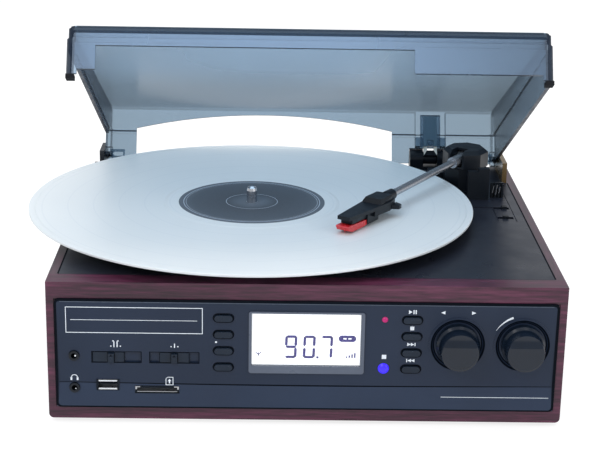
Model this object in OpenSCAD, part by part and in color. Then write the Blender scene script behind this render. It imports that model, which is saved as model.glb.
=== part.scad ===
// Stereo music centre: record player, radio, cassette player and card player in one wooden cabinet.
// Lengths are in millimetres and angles in degrees.
// The modules are drawn in the cabinet's own axes: X to the right from the middle of the cabinet,
// Y to the back from the front board's face, Z up from the table. place() moves them to the origin,
// which is the middle of the footprint that the record and the knobs make with the cabinet.

/* [Cabinet] */
// Width over the two side panels
cabinet_w = 316; // [310:1:330]
// Depth from the front board's face to the rear face
cabinet_d = 272; // [268:1:290]
// Height of the wooden cabinet without its feet
cabinet_h = 89; // [87:1:100]
// Thickness of a side panel
side_t = 6; // [5:0.2:9]
// Thickness of the front board
front_t = 14; // [12:0.5:18]
// Thickness of the bottom board
bottom_t = 4; // [3:0.5:6]
// Thickness of the rear board
rear_t = 4; // [3:0.5:6]
// Height of the rubber feet
foot_h = 3; // [2:0.5:6]
// Radius of a rubber foot
foot_r = 9; // [6:0.5:12]
// Distance of each foot's centre from the cabinet's edges
foot_inset = 32; // [26:1:50]

/* [Fascia] */
// Width of the front board's stiles beside the black moulding
fascia_edge = 5.5; // [4.5:0.5:6.5]
// Height of the black front moulding
fascia_h = 69; // [68:0.5:71]
// Height of the front board's lower rail, below the moulding
fascia_sill = 8.5; // [7:0.5:10]
// How far the moulding stands out of the front board
fascia_proud = 1; // [0.6:0.1:2]
// Wall thickness of the front moulding
fascia_t = 2.6; // [2:0.1:3]
// Height of the moulding's lower band, which leans forward
band_h = 15.4; // [14:0.2:16.4]
// How far the band's foot leans out
band_lean = 1.4; // [0.8:0.1:2.4]
// Distance from the moulding's back to the control board
board_gap = 7.4; // [6.8:0.2:8.4]

/* [Display] */
// Width of the display frame
lcd_w = 70.4; // [68:0.4:72]
// Height of the display frame
lcd_h = 40; // [38:0.4:42]
// Middle of the display frame from the cabinet's middle
lcd_x = -0.1; // [-1:0.1:1]
// Middle of the display frame above the cabinet's underside
lcd_z = 51.9; // [51:0.1:52.6]
// Left border of the display frame
lcd_left = 1.7; // [1.4:0.1:2.4]
// Right border of the display frame
lcd_right = 2.2; // [1.4:0.1:2.6]
// Upper border of the display frame
lcd_top = 1.1; // [1:0.1:2]
// Lower border of the display frame
lcd_sill = 4.8; // [4.2:0.2:6.4]

/* [Controls] */
// Length of a pill-shaped push button
button_w = 11; // [10:0.2:12.4]
// Height of a push button
button_h = 4; // [3.6:0.2:4.8]
// Distance between the buttons of a column
button_pitch = 10.65; // [10.3:0.05:10.8]
// Middle of the left button column
left_buttons_x = -50.7; // [-51.5:0.1:-50]
// Middle of the right button column
right_buttons_x = 63.9; // [63:0.1:64.5]
// Height of the top button above the cabinet's underside
button_top_z = 67.4; // [67:0.1:67.8]
// How far a button stands out of the moulding
button_out = 1.5; // [1.4:0.1:2]
// Travel of a push button
button_travel = 1; // [0.6:0.1:1.2]
// Middle of the tuning knob
tuning_x = 92.1; // [91:0.3:93]
// Middle of the volume knob
volume_x = 131.8; // [130.4:0.2:132.8]
// Height of both knobs above the cabinet's underside
knob_z = 51.6; // [50.4:0.3:52.8]
// Radius of a knob at its front
knob_r = 11.6; // [10:0.2:12.4]
// Radius of a knob's skirt
knob_skirt_r = 13.4; // [12.8:0.2:14]
// How far a knob stands out of the moulding
knob_out = 15.5; // [12:0.5:18]
// Radius of the dished recess around a knob
knob_dish_r = 16.8; // [16.2:0.2:17.4]
// Depth of that recess
knob_dish = 1.4; // [1:0.1:1.6]
// Radius of the knob shafts
shaft_r = 3; // [2.5:0.1:3.2]
// Width of a slide switch's window
slide_w = 30; // [29:0.5:31]
// Height of a slide switch's window
slide_h = 7; // [6:0.2:7.4]
// Middle of the function switch's window
function_x = -115.8; // [-116.2:0.1:-115.4]
// Middle of the wave band switch's window
band_x = -80.6; // [-81:0.1:-80.2]
// Height of both slide switches
slide_z = 41.1; // [40.6:0.1:41.6]
// Depth of that window
slide_depth = 1.4; // [1:0.1:1.6]
// Width of the function switch's sliding plate
function_plate = 19.6; // [18:0.2:20.4]
// Width of the wave band switch's sliding plate
band_plate = 18.4; // [17:0.2:20.4]
// Width of a slider's grip
grip_w = 3.6; // [3:0.2:4.4]
// How far a slider's grip stands out of the moulding
grip_out = 2; // [1.4:0.2:2.6]
// Step between two positions of a slide switch
slide_step = 2; // [1.6:0.1:2.2]

/* [Sockets] */
// Middle of the two jack sockets
jack_x = -141.6; // [-142:0.1:-141]
// Height of the line-in jack
aux_z = 42; // [41.4:0.2:42.4]
// Height of the headphone jack
phones_z = 21; // [20.6:0.2:21.4]
// Bore radius of a jack
jack_r = 1.8; // [1.76:0.02:1.84]
// Middle of the memory stick socket
usb_x = -121.3; // [-122:0.1:-120.6]
// Height of the memory stick socket
usb_z = 23.1; // [22.7:0.1:23.5]
// Opening width of the memory stick socket
usb_w = 12.4; // [12.2:0.1:12.6]
// Opening height of the memory stick socket
usb_h = 4.9; // [4.7:0.1:5.1]
// Middle of the memory card slot
card_x = -91.2; // [-92:0.1:-90]
// Height of the memory card slot
card_z = 20.4; // [20:0.1:20.8]
// Opening width of the card slot
card_w = 24.6; // [24.2:0.2:26]
// Opening height of the card slot
card_h = 2.6; // [2.4:0.1:3]

/* [Turntable] */
// Record diameter, a twelve-inch disc
record_d = 301.6; // [300:0.2:303]
// Record thickness
record_t = 1.8; // [1.4:0.1:2.4]
// Spindle position to the right of the cabinet's middle
spindle_x = -36; // [-40:0.5:-34]
// Spindle position behind the front face
spindle_y = 139; // [138:0.5:141]
// Height of the record's top above the deck
record_rise = 10; // [9.5:0.25:11]
// Spindle radius
spindle_r = 3.55; // [3.5:0.01:3.6]
// How far the spindle stands above the record
spindle_out = 11; // [8:0.5:12]
// Platter radius
platter_r = 90; // [84:1:92]
// Depth of the platter's well in the deck
well_depth = 6; // [5:0.5:8]
// Thickness of the slip mat
mat_t = 1; // [0.6:0.2:1.6]
// Radius of the drive ring under the platter
drive_r = 39; // [34:0.5:42]
// Radius of the motor pulley
pulley_r = 6; // [5:0.25:7]
// Distance from the spindle to the motor shaft
motor_reach = 62; // [58:1:66]
// Direction of the motor from the spindle
motor_angle = 205; // [190:5:220]

/* [Tonearm] */
// Pivot position to the right of the cabinet's middle
pivot_x = 118.5; // [117:0.5:120]
// Pivot position behind the front face
pivot_y = 214; // [212:0.5:216]
// Length from the pivot to the stylus
arm_len = 170; // [168:0.5:172]
// Angle of the arm from straight ahead, towards the record
arm_angle = 33.4; // [30:0.2:36]
// Angle by which the parked arm points outwards
park_angle = 6; // [4:0.5:6]
// Height of the arm's tube above the deck
arm_z = 24; // [23.5:0.25:24.5]
// Radius of the arm's tube
tube_r = 2.5; // [2.2:0.1:2.6]
// Half width of the eight-sided pedestal under the arm
pedestal_r = 15; // [13.6:0.2:15.6]
// Height of that pedestal
pedestal_h = 17.6; // [16:0.2:18.4]
// Half width of the eight-sided arm housing
housing_r = 15.2; // [14.4:0.2:16.4]
// Height of the arm housing
housing_h = 13; // [11:0.5:14]

/* [Dust cover] */
// Distance from a side panel's inner face to the cover
cover_edge = 4; // [3:0.25:6]
// Distance from the cabinet's face to the closed cover's front
cover_front = 13.2; // [12:0.2:16]
// Height of the closed cover's front above the deck
cover_h = 33.2; // [32.8:0.2:38]
// How much higher the closed cover is at the rear
cover_rise = 11; // [8:0.5:14]
// Wall thickness of the cover
cover_t = 2.4; // [2:0.1:3]
// Gap under the closed cover's skirt
skirt_gap = 3; // [2:0.5:4]
// Height of the ledge between skirt and upper wall, above the deck
ledge_z = 25.6; // [24:0.2:26]
// Width of that ledge
ledge_w = 0.9; // [0.7:0.1:1.6]
// Angle at which the cover stands open
open_angle = 27; // [10:0.2:50]
// Hinge axis behind the front face
hinge_y = 268.1; // [267:0.1:269]
// Hinge axis above the deck
hinge_up = 7.15; // [7:0.05:7.6]
// Radius of the hinge pins
pin_r = 2; // [1.6:0.1:2.4]
// Distance from the friction hinge's middle to the cover's side
hinge_in = 50; // [46:0.5:54]
// Length of the right corner bracket
bracket_l = 44; // [36:1:46]
// Length of the left corner bracket, which stays clear of the record
bracket_short = 24; // [18:1:26]
// Height of a corner bracket
bracket_h = 15; // [14:0.5:18]

/* [Cassette] */
// Width of the cassette mouth
mouth_w = 103; // [102:0.5:105]
// Height of the cassette mouth
mouth_h = 14.4; // [14:0.2:16]
// Middle of the mouth behind the front face
mouth_y = 186; // [180:1:190]
// Middle of the mouth above the cabinet's underside
mouth_z = 40; // [38:1:44]
// Depth of the cassette compartment
tray_d = 66; // [65:1:70]

/* [Hidden] */
$fn = 48;

// clearances: between fixed pieces, between moving pieces, and round a running shaft
fit = 0.3;
gap = 0.3;
running = 0.05;
eps = 0.01;

half_w = cabinet_w / 2;
z0 = foot_h;
deck_z = z0 + cabinet_h;
inner_x = half_w - side_t;
batten = 10;
corner_r = 3;
rabbet_w = 1;
rabbet_d = 1.2;

// the fascia and what is behind it; the controls keep their spread when its width changes
fascia_w = cabinet_w - 2 * fascia_edge;
layout_w = 305;
function across(x) = x * fascia_w / layout_w;
jack_at = across(jack_x);
usb_at = across(usb_x);
card_at = across(card_x);
function_at = across(function_x);
band_at = across(band_x);
left_at = across(left_buttons_x);
right_at = across(right_buttons_x);
power_at = across(47.2);
tuning_at = across(tuning_x);
volume_at = across(volume_x);
fascia_z = z0 + fascia_sill;
fascia_back = fascia_t - fascia_proud;
board_y = fascia_back + board_gap;
board_t = 1.6;
window_x0 = lcd_x - lcd_w / 2 + lcd_left;
window_x1 = lcd_x + lcd_w / 2 - lcd_right;
window_z0 = z0 + lcd_z - lcd_h / 2 + lcd_sill;
window_z1 = z0 + lcd_z + lcd_h / 2 - lcd_top;
// a slider's plate starts at its window's left end or in the middle; its neck's slot stays behind it
slide_half = 1.5 * slide_step;
neck_r = 1.2;
function_rest = function_at - slide_w / 2 + gap + function_plate / 2;
function_mid = function_rest + slide_half;
pot_y = board_y - 5.6;

// the turntable, in heights above the table
record_z = deck_z + record_rise - record_t;
mat_z = record_z - mat_t;
plate_t = 3;
plate_z = mat_z - plate_t;
well_z = deck_z - well_depth;
well_r = platter_r + 3.4;
deck_t = 2.6;
well_floor = well_z - deck_t;
hub_z = well_z + gap;
pulley_z = well_z + 0.8;
pulley_h = plate_z - pulley_z - 1.2;
belt_t = 0.8;
belt_h = 4;
belt_z = pulley_z + 0.8;
motor_x = spindle_x + motor_reach * cos(motor_angle);
motor_y = spindle_y + motor_reach * sin(motor_angle);

// the tonearm
arm_height = deck_z + arm_z;
housing_z = deck_z + pedestal_h + gap;
gimbal_r = 4.4;
gimbal_w = 9;
sleeve_r = 4;
swing_r = 4;
tube_slope = 1.4;
head_reach = arm_len - 60;
head_drop = head_reach * tan(tube_slope);
// heights in the head, from the tube's axis at its end down to the record
record_drop = arm_z - head_drop - record_rise;
stylus_gap = 0.12;

// the dust cover, closed: its pieces are turned about the hinge when drawn
hinge_z = deck_z + hinge_up;
cover_half = inner_x - cover_edge;
hinge_x = cover_half - hinge_in;
cover_low = deck_z + skirt_gap;
cover_rear = hinge_y + 0.1;
cover_peak = deck_z + cover_h + cover_rise;
ledge = deck_z + ledge_z;
front_low = deck_z + 6;
left_cut = deck_z + 20;
notch_top = deck_z + 20.8;
arch_spring = 27.4;
arch_crown = 38.8;
top_round = 1.2;
cover_r = 7;
socket_w = 23;
socket_d = 7;
hinge_r = 6.6;
knuckle_r = 4.2;
hinge_half = 15;
ear_r = 6;
ear_t = 3.6;

// the cassette side
mouth_mid = z0 + mouth_z;
frame_t = 1.5;
tray_wall = 2;
eject_y = mouth_y + mouth_w / 2 + 10;
eject_out = 4.4;
eject_travel = 3;

// side speakers
grille_y = 84;
grille_z = z0 + 44;
grille_w = 62;
grille_h = 44;
speaker_r = 28;

// the origin: middle of the footprint at table height
origin_x = (spindle_x - record_d / 2 + half_w + eject_out) / 2;
origin_y = (spindle_y + record_d / 2 - fascia_proud - knob_out) / 2;

module place() { translate([-origin_x, -origin_y, 0]) children(); }
module open_cover() {
    translate([0, hinge_y, hinge_z]) rotate([-open_angle, 0, 0]) translate([0, -hinge_y, -hinge_z]) children();
}
// arm() draws along -Y from the pivot, turned to the arm's place over the record
module arm() { translate([pivot_x, pivot_y, arm_height]) rotate([0, 0, -arm_angle]) children(); }

// a block given by its two corners
module span(a, b) { translate(a) cube(b - a); }
// a cylinder along Y from the depth y0 to y1
module rod_y(x, z, y0, y1, r) { translate([x, y0, z]) rotate([-90, 0, 0]) cylinder(h = y1 - y0, r = r); }
// a cylinder along X from x0 to x1
module rod_x(y, z, x0, x1, r) { translate([x0, y, z]) rotate([0, 90, 0]) cylinder(h = x1 - x0, r = r); }
// a pill outline of width w and height h, standing in XZ, from the depth y0 to y1
module pill(x, z, w, h, y0, y1) {
    for (s = [-1, 1]) rod_y(x + s * (w - h) / 2, z, y0, y1, h / 2);
    span([x - (w - h) / 2, y0, z - h / 2], [x + (w - h) / 2, y1, z + h / 2]);
}
// a round-cornered plate in XY
module rounded(a, b, r, h) {
    translate([0, 0, a[2]]) linear_extrude(h) rounded_outline(a, b, r);
}
// a round-cornered plate standing in XZ, from the depth y0 to y1
module plate_y(a, b, r, y0, y1) {
    translate([0, y1, 0]) rotate([90, 0, 0]) linear_extrude(y1 - y0) rounded_outline(a, b, r);
}
module rounded_outline(a, b, r) {
    translate([a[0] + r, a[1]]) square([b[0] - a[0] - 2 * r, b[1] - a[1]]);
    translate([a[0], a[1] + r]) square([b[0] - a[0], b[1] - a[1] - 2 * r]);
    for (x = [a[0] + r, b[0] - r], y = [a[1] + r, b[1] - r]) translate([x, y]) circle(r);
}

function button_z(i) = z0 + button_top_z - i * button_pitch;

// cabinet
module side_panel(s) {
    difference() {
        union() {
            span([inner_x, front_t, z0], [half_w, cabinet_d, deck_z]);
            span([inner_x - batten, front_t, z0 + bottom_t],
                [inner_x, cabinet_d - rear_t, z0 + bottom_t + batten]);
        }
        span([inner_x - eps, grille_y - grille_w / 2, grille_z - grille_h / 2],
            [half_w + eps, grille_y + grille_w / 2, grille_z + grille_h / 2]);
        for (y = screw_ys())
            translate([inner_x - batten / 2, y, z0 + bottom_t - eps]) cylinder(h = 8, r = 1.45);
        if (s > 0) {
            span([inner_x - eps, mouth_y - mouth_w / 2 - frame_t, mouth_mid - mouth_h / 2 - frame_t],
                [half_w + eps, mouth_y + mouth_w / 2 + frame_t, mouth_mid + mouth_h / 2 + frame_t]);
            rod_x(eject_y, mouth_mid, inner_x - eps, half_w + eps, 5.2);
        }
    }
}
function screw_ys() = [front_t + 20, (front_t + cabinet_d) / 2, cabinet_d - 26];
module side_panel_left() { color([0.27, 0.12, 0.13]) mirror([1, 0, 0]) side_panel(-1); }
module side_panel_right() { color([0.27, 0.12, 0.13]) side_panel(1); }

module front_board() {
    color([0.28, 0.12, 0.13]) difference() {
        translate([0, front_t, 0]) rotate([90, 0, 0]) linear_extrude(front_t) front_outline();
        span([-fascia_w / 2 - fit, -eps, fascia_z - fit],
            [fascia_w / 2 + fit, front_t + eps, fascia_z + fascia_h + fit]);
        // rabbet that leaves a shadow line beside and above the moulding
        span([-fascia_w / 2 - rabbet_w, -eps, fascia_z - fit],
            [fascia_w / 2 + rabbet_w, rabbet_d, fascia_z + fascia_h + rabbet_w]);
    }
}
// the front board's outline in XZ, with rounded lower corners
module front_outline() {
    translate([-half_w, z0 + corner_r]) square([cabinet_w, cabinet_h - corner_r]);
    translate([-half_w + corner_r, z0]) square([cabinet_w - 2 * corner_r, 2 * corner_r]);
    for (s = [-1, 1]) translate([s * (half_w - corner_r), z0 + corner_r]) circle(corner_r);
}

module rear_board() {
    color([0.16, 0.14, 0.13]) difference() {
        span([-inner_x, cabinet_d - rear_t, z0 + bottom_t], [inner_x, cabinet_d, deck_z - deck_t]);
        for (x = rca_xs()) rod_y(x, rca_z, cabinet_d - rear_t - eps, cabinet_d + eps, rca_r + fit);
        rod_y(gland_x, gland_z, cabinet_d - rear_t - eps, cabinet_d + eps, gland_r);
        for (i = [0:7])
            span([-20 + i * 8, cabinet_d - rear_t - eps, z0 + 24], [-16 + i * 8, cabinet_d + eps, z0 + 56]);
    }
}
rca_r = 4.2;
rca_z = z0 + 30;
function rca_xs() = [-inner_x + 30, -inner_x + 48];
gland_x = inner_x - 40;
gland_z = z0 + 24;
gland_r = 6;

module bottom_board() {
    color([0.2, 0.17, 0.15]) difference() {
        span([-inner_x, front_t, z0], [inner_x, cabinet_d, z0 + bottom_t]);
        for (s = [-1, 1], y = screw_ys())
            translate([s * (inner_x - batten / 2), y, z0 - eps]) cylinder(h = bottom_t + 1, r = 1.6);
        for (i = [0:8], y = [96, 190])
            span([-44 + i * 11, y - 22, z0 - eps], [-40 + i * 11, y + 22, z0 + bottom_t + eps]);
    }
}

module feet() {
    color([0.05, 0.05, 0.05]) for (x = [-1, 1], y = [foot_inset, cabinet_d - foot_inset])
        translate([x * (half_w - foot_inset), y, 0]) rotate_extrude()
            polygon([[0, 0], [foot_r - 1, 0], [foot_r, 1], [foot_r, foot_h], [0, foot_h]]);
}

module bottom_screws() {
    color([0.6, 0.6, 0.62]) for (s = [-1, 1], y = screw_ys())
        translate([s * (inner_x - batten / 2), y, 0]) bottom_screw();
}
module bottom_screw() {
    translate([0, 0, z0 - 1.4]) difference() {
        cylinder(h = 1.4, r = 3);
        for (a = [0, 90]) rotate(a) translate([-2, -0.4, -eps]) cube([4, 0.8, 0.8]);
    }
    translate([0, 0, z0 - eps]) cylinder(h = bottom_t + 7, r = 1.4);
}

// deck with the platter's well, the arm's bore and the two small switches
module deck() {
    color([0.06, 0.06, 0.07]) difference() {
        union() {
            span([-inner_x + fit, front_t + fit, deck_z - deck_t], [inner_x - fit, cabinet_d, deck_z]);
            translate([spindle_x, spindle_y, well_floor])
                cylinder(h = deck_z - well_floor - 1, r = well_r + deck_t, $fn = 96);
        }
        translate([spindle_x, spindle_y, well_z]) cylinder(h = well_depth + 1, r = well_r, $fn = 96);
        translate([spindle_x, spindle_y, well_floor - eps]) cylinder(h = deck_t + 1, r = spindle_r + 0.2);
        translate([motor_x, motor_y, well_floor - eps]) cylinder(h = deck_t + 1, r = 3.5);
        translate([pivot_x, pivot_y, deck_z - deck_t - eps]) cylinder(h = deck_t + 1, r = swing_r + 1.5);
        for (y = [speed_y, stop_y]) deck_slot(y);
        // shallow label panel in front of the arm rest, and the fine groove beside it
        span([label_x, label_y, deck_z - 0.5], [label_x + label_w, label_y + label_l, deck_z + 1]);
        span([inner_x - 6.6, groove_y, deck_z - 0.5], [inner_x - 6, groove_y + groove_l, deck_z + 1]);
    }
}
label_w = 13.6;
label_l = 32;
label_x = inner_x - 32.2;
label_y = 133.5;
groove_y = 131.5;
groove_l = 75;
speed_x = inner_x - 13;
speed_y = 140.5;
stop_y = 163;
slot_l = 11;
module deck_slot(y) {
    span([speed_x - slot_l / 2, y - 2.4, deck_z - 1.2], [speed_x + slot_l / 2, y + 2.4, deck_z + 1]);
    span([speed_x - slot_l / 2 + 1, y - 1, deck_z - deck_t - 1], [speed_x + slot_l / 2 - 1, y + 1, deck_z]);
}

// small slider on the deck: grip, neck through the slot, and the foot that holds it below
module deck_slider(y, shift) {
    color([0.04, 0.04, 0.04]) {
        span([speed_x + shift - 1.8, y - 2, deck_z - 1.2 + gap],
            [speed_x + shift + 1.8, y + 2, deck_z + 1.8]);
        span([speed_x + shift - 1.2, y - 0.7, deck_z - deck_t - gap - 0.1],
            [speed_x + shift + 1.2, y + 0.7, deck_z - 0.8]);
        span([speed_x + shift - 3, y - 2.6, deck_z - deck_t - gap - 1.2],
            [speed_x + shift + 3, y + 2.6, deck_z - deck_t - gap]);
    }
}
module speed_switch() { deck_slider(speed_y, 0); }
module auto_stop_switch() { deck_slider(stop_y, 2); }

// front moulding
module fascia() {
    color([0.09, 0.1, 0.12]) difference() {
        union() {
            translate([-fascia_w / 2, 0, 0]) rotate([90, 0, 90]) linear_extrude(fascia_w) fascia_profile();
            difference() {
                span([-fascia_w / 2, fascia_back - eps, fascia_z],
                    [fascia_w / 2, front_t, fascia_z + fascia_h]);
                span([-fascia_w / 2 + 1.6, 0, fascia_z + 1.6],
                    [fascia_w / 2 - 1.6, front_t + 1, fascia_z + fascia_h - 1.6]);
            }
            for (p = boss_points()) rod_y(p[0], p[1], fascia_back - eps, board_y, 3);
            // raised rings round the two knobs
            for (x = [tuning_at, volume_at])
                rod_y(x, z0 + knob_z, -fascia_proud - 0.4, 0, knob_dish_r + 1);
        }
        for (p = boss_points()) rod_y(p[0], p[1], board_y - 5, board_y + 1, 1);
        for (x = [tuning_at, volume_at]) {
            translate([x, -fascia_proud - 0.5, z0 + knob_z]) rotate([-90, 0, 0])
                cylinder(h = knob_dish + 0.5, r1 = knob_dish_r, r2 = knob_skirt_r + 0.9);
            rod_y(x, z0 + knob_z, -2, front_t, shaft_r + 0.6);
        }
        for (x = [left_at, right_at], i = [0:3])
            pill(x, button_z(i), button_w + 2 * gap, button_h + 2 * gap, -3, fascia_back + 1);
        span([lcd_x - lcd_w / 2 + 0.4, -3, z0 + lcd_z - lcd_h / 2 + 0.4],
            [lcd_x + lcd_w / 2 - 0.4, fascia_back + 1, z0 + lcd_z + lcd_h / 2 - 0.4]);
        for (x = [function_at, band_at])
            span([x - slide_w / 2, -3, z0 + slide_z - slide_h / 2],
                [x + slide_w / 2, -fascia_proud + slide_depth, z0 + slide_z + slide_h / 2]);
        for (x = [function_mid, band_at])
            span([x - slide_half - neck_r - gap, -3, z0 + slide_z - neck_r - gap],
                [x + slide_half + neck_r + gap, fascia_back + 1, z0 + slide_z + neck_r + gap]);
        for (z = [aux_z, phones_z]) rod_y(jack_at, z0 + z, -4, fascia_back + 1, jack_collar + 0.2);
        span([usb_at - usb_w / 2 - usb_rim - 0.2, -4, z0 + usb_z - usb_h / 2 - usb_lip - 0.2],
            [usb_at + usb_w / 2 + usb_rim + 0.2, fascia_back + 1, z0 + usb_z + usb_h / 2 + usb_lip + 0.2]);
        span([card_at - card_w / 2 - 1.2, -4, z0 + card_z - card_h / 2 - 0.8],
            [card_at + card_w / 2 + 1.2, fascia_back + 1, z0 + card_z + card_h / 2 + 0.8]);
        rod_y(power_at, z0 + power_z, -4, fascia_back + 1, led_r + 0.1);
        rod_y(power_at, z0 + record_led_z, -4, fascia_back + 1, eye_r + 0.1);
    }
}
jack_collar = 3.1;
usb_rim = 0.4;
usb_lip = 0.7;
power_z = 67.5;
led_r = 1.8;
record_led_z = 35.6;
eye_r = 3.4;
module fascia_profile() {
    top = fascia_z + fascia_h;
    fold = fascia_z + band_h;
    polygon([[fascia_back, fascia_z], [fascia_back, top],
        [-fascia_proud + 0.6, top], [-fascia_proud, top - 0.6], [-fascia_proud, fold],
        [-fascia_proud - band_lean, fascia_z + 0.8], [-fascia_proud - band_lean + 0.8, fascia_z]]);
}
// screw bosses: at the left edge, outside the two button columns, and between the knobs
boss_xs = [-fascia_w / 2 + 6.5, left_at - 11.3, right_at - 9.6, (tuning_at + volume_at) / 2];
function boss_points() = [for (x = boss_xs, z = [fascia_z + 4.2, fascia_z + fascia_h - 6]) [x, z]];

// display
module lcd_frame() {
    color([0.35, 0.37, 0.42]) difference() {
        union() {
            plate_y([lcd_x - lcd_w / 2, z0 + lcd_z - lcd_h / 2], [lcd_x + lcd_w / 2, z0 + lcd_z + lcd_h / 2],
                1.6, -fascia_proud - 0.9, -fascia_proud);
            span([lcd_x - lcd_w / 2 + 0.5, -fascia_proud - eps, z0 + lcd_z - lcd_h / 2 + 0.5],
                [lcd_x + lcd_w / 2 - 0.5, fascia_back, z0 + lcd_z + lcd_h / 2 - 0.5]);
        }
        span([window_x0, -4, window_z0], [window_x1, fascia_back + 1, window_z1]);
    }
}
module lcd_window() {
    color([0.8, 0.85, 0.95, 0.4])
        span([window_x0 + 0.1, -fascia_proud - 0.5, window_z0 + 0.1],
            [window_x1 - 0.1, -fascia_proud + 0.7, window_z1 - 0.1]);
}
module lcd_module() {
    color([0.85, 0.88, 1]) {
        span([window_x0 + 0.3, -fascia_proud + 0.9, window_z0 + 0.3],
            [window_x1 - 0.3, fascia_back + 0.1 + eps, window_z1 - 0.3]);
        span([lcd_x - lcd_w / 2, fascia_back + 0.1, z0 + lcd_z - lcd_h / 2],
            [lcd_x + lcd_w / 2, board_y, z0 + lcd_z + lcd_h / 2]);
    }
}

// board behind the fascia with its key switches, the two potentiometers and the slide switch bodies
module control_board() {
    color([0.1, 0.25, 0.14]) {
        difference() {
            span([-fascia_w / 2 + 3, board_y, fascia_z + 2],
                [fascia_w / 2 - 3, board_y + board_t, fascia_z + fascia_h - 2]);
            for (p = boss_points()) rod_y(p[0], p[1], board_y - 1, board_y + board_t + 1, 1);
        }
        for (x = [left_at, right_at], i = [0:3])
            span([x - 2.5, board_y - 1.6, button_z(i) - 2.5], [x + 2.5, board_y, button_z(i) + 2.5]);
        for (x = [tuning_at, volume_at]) difference() {
            rod_y(x, z0 + knob_z, pot_y, board_y, 8.5);
            rod_y(x, z0 + knob_z, pot_y - 1, board_y - 1, shaft_r + running);
        }
        for (x = [function_mid, band_at]) difference() {
            span([x - 12, board_y - 3.4, z0 + slide_z - 4], [x + 12, board_y, z0 + slide_z + 4]);
            span([x - 10.5, board_y - 4, z0 + slide_z - 1.6], [x + 10.5, board_y - 1, z0 + slide_z + 1.6]);
        }
    }
}

module jack_sockets() {
    color([0.05, 0.05, 0.06]) for (z = [aux_z, phones_z]) difference() {
        union() {
            rod_y(jack_at, z0 + z, -fascia_proud - 1.2, fascia_back + 0.3, jack_collar);
            span([jack_at - 4.5, fascia_back, z0 + z - 4.5], [jack_at + 4.5, board_y, z0 + z + 4.5]);
        }
        rod_y(jack_at, z0 + z, -5, board_y - 1, jack_r);
    }
}

module usb_socket() {
    color([0.75, 0.76, 0.78]) {
        difference() {
            span([usb_at - usb_w / 2 - usb_rim, -fascia_proud - 0.6, z0 + usb_z - usb_h / 2 - usb_lip],
                [usb_at + usb_w / 2 + usb_rim, board_y, z0 + usb_z + usb_h / 2 + usb_lip]);
            span([usb_at - usb_w / 2, -4, z0 + usb_z - usb_h / 2],
                [usb_at + usb_w / 2, board_y - 0.8, z0 + usb_z + usb_h / 2]);
        }
        // contact tongue in the upper half
        span([usb_at - usb_w / 2 + 0.7, -fascia_proud + 0.6, z0 + usb_z + 0.3],
            [usb_at + usb_w / 2 - 0.7, board_y - 0.8 + eps, z0 + usb_z + 2]);
    }
}
module card_socket() {
    color([0.72, 0.73, 0.75]) difference() {
        span([card_at - card_w / 2 - 1, -fascia_proud - 0.7, z0 + card_z - card_h / 2 - 0.6],
            [card_at + card_w / 2 + 1, board_y, z0 + card_z + card_h / 2 + 0.6]);
        span([card_at - card_w / 2, -4, z0 + card_z - card_h / 2],
            [card_at + card_w / 2, board_y - 0.8, z0 + card_z + card_h / 2]);
    }
}

module indicators() {
    color([0.8, 0.1, 0.4]) {
        lamp(power_at, z0 + power_z, led_r);
        lamp(power_at, z0 + record_led_z, eye_r);
    }
}
module lamp(x, z, r) {
    rod_y(x, z, -fascia_proud - 0.2, board_y, r);
    translate([x, -fascia_proud - 0.2, z]) rotate([90, 0, 0]) rotate_extrude() intersection() {
        translate([0, -r * 0.8]) circle(r * 1.28);
        square([r, r]);
    }
}

// electronics: the main board at the left, the transformer beside the cassette tray
pcb_w = 100;
pcb_d = 100;
pcb_t = 1.6;
pcb_lift = 6;
pcb_in = 4;
pcb_x = -inner_x + 32;
pcb_y = cabinet_d - 122;
core_w = 42;
core_d = 36;
core_h = 34;
coil_w = 30;
coil_h = 22;
coil_out = 6;
tab_w = 8;
tab_d = 12;
tab_t = 1.6;
core_x = inner_x - tray_d - tray_wall - 33;
core_y = cabinet_d - 58;
module main_board() {
    top = z0 + bottom_t + pcb_lift + pcb_t;
    color([0.12, 0.3, 0.16]) {
        span([pcb_x, pcb_y, top - pcb_t], [pcb_x + pcb_w, pcb_y + pcb_d, top]);
        for (x = [pcb_x + pcb_in, pcb_x + pcb_w - pcb_in], y = [pcb_y + pcb_in, pcb_y + pcb_d - pcb_in])
            translate([x, y, z0 + bottom_t]) cylinder(h = pcb_lift + eps, r = 3);
        // smoothing capacitors, the main circuit and a heat sink
        for (i = [0:2]) translate([pcb_x + 20 + i * 18, pcb_y + pcb_d - 24, top - eps]) cylinder(h = 14, r = 5);
        span([pcb_x + pcb_w - 40, pcb_y + 20, top - eps], [pcb_x + pcb_w - 24, pcb_y + 36, top + 2.4]);
        span([pcb_x + 16, pcb_y + 18, top - eps], [pcb_x + 46, pcb_y + 22, top + 19.4]);
    }
}
module transformer() {
    low = z0 + bottom_t;
    color([0.35, 0.33, 0.3]) {
        span([core_x - core_w / 2, core_y - core_d / 2, low],
            [core_x + core_w / 2, core_y + core_d / 2, low + core_h]);
        span([core_x - coil_w / 2, core_y - core_d / 2 - coil_out, low + 6],
            [core_x + coil_w / 2, core_y + core_d / 2 + coil_out, low + 6 + coil_h]);
        span([core_x - core_w / 2 - tab_w, core_y - tab_d / 2, low],
            [core_x + core_w / 2 + tab_w, core_y + tab_d / 2, low + tab_t]);
    }
}

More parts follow.
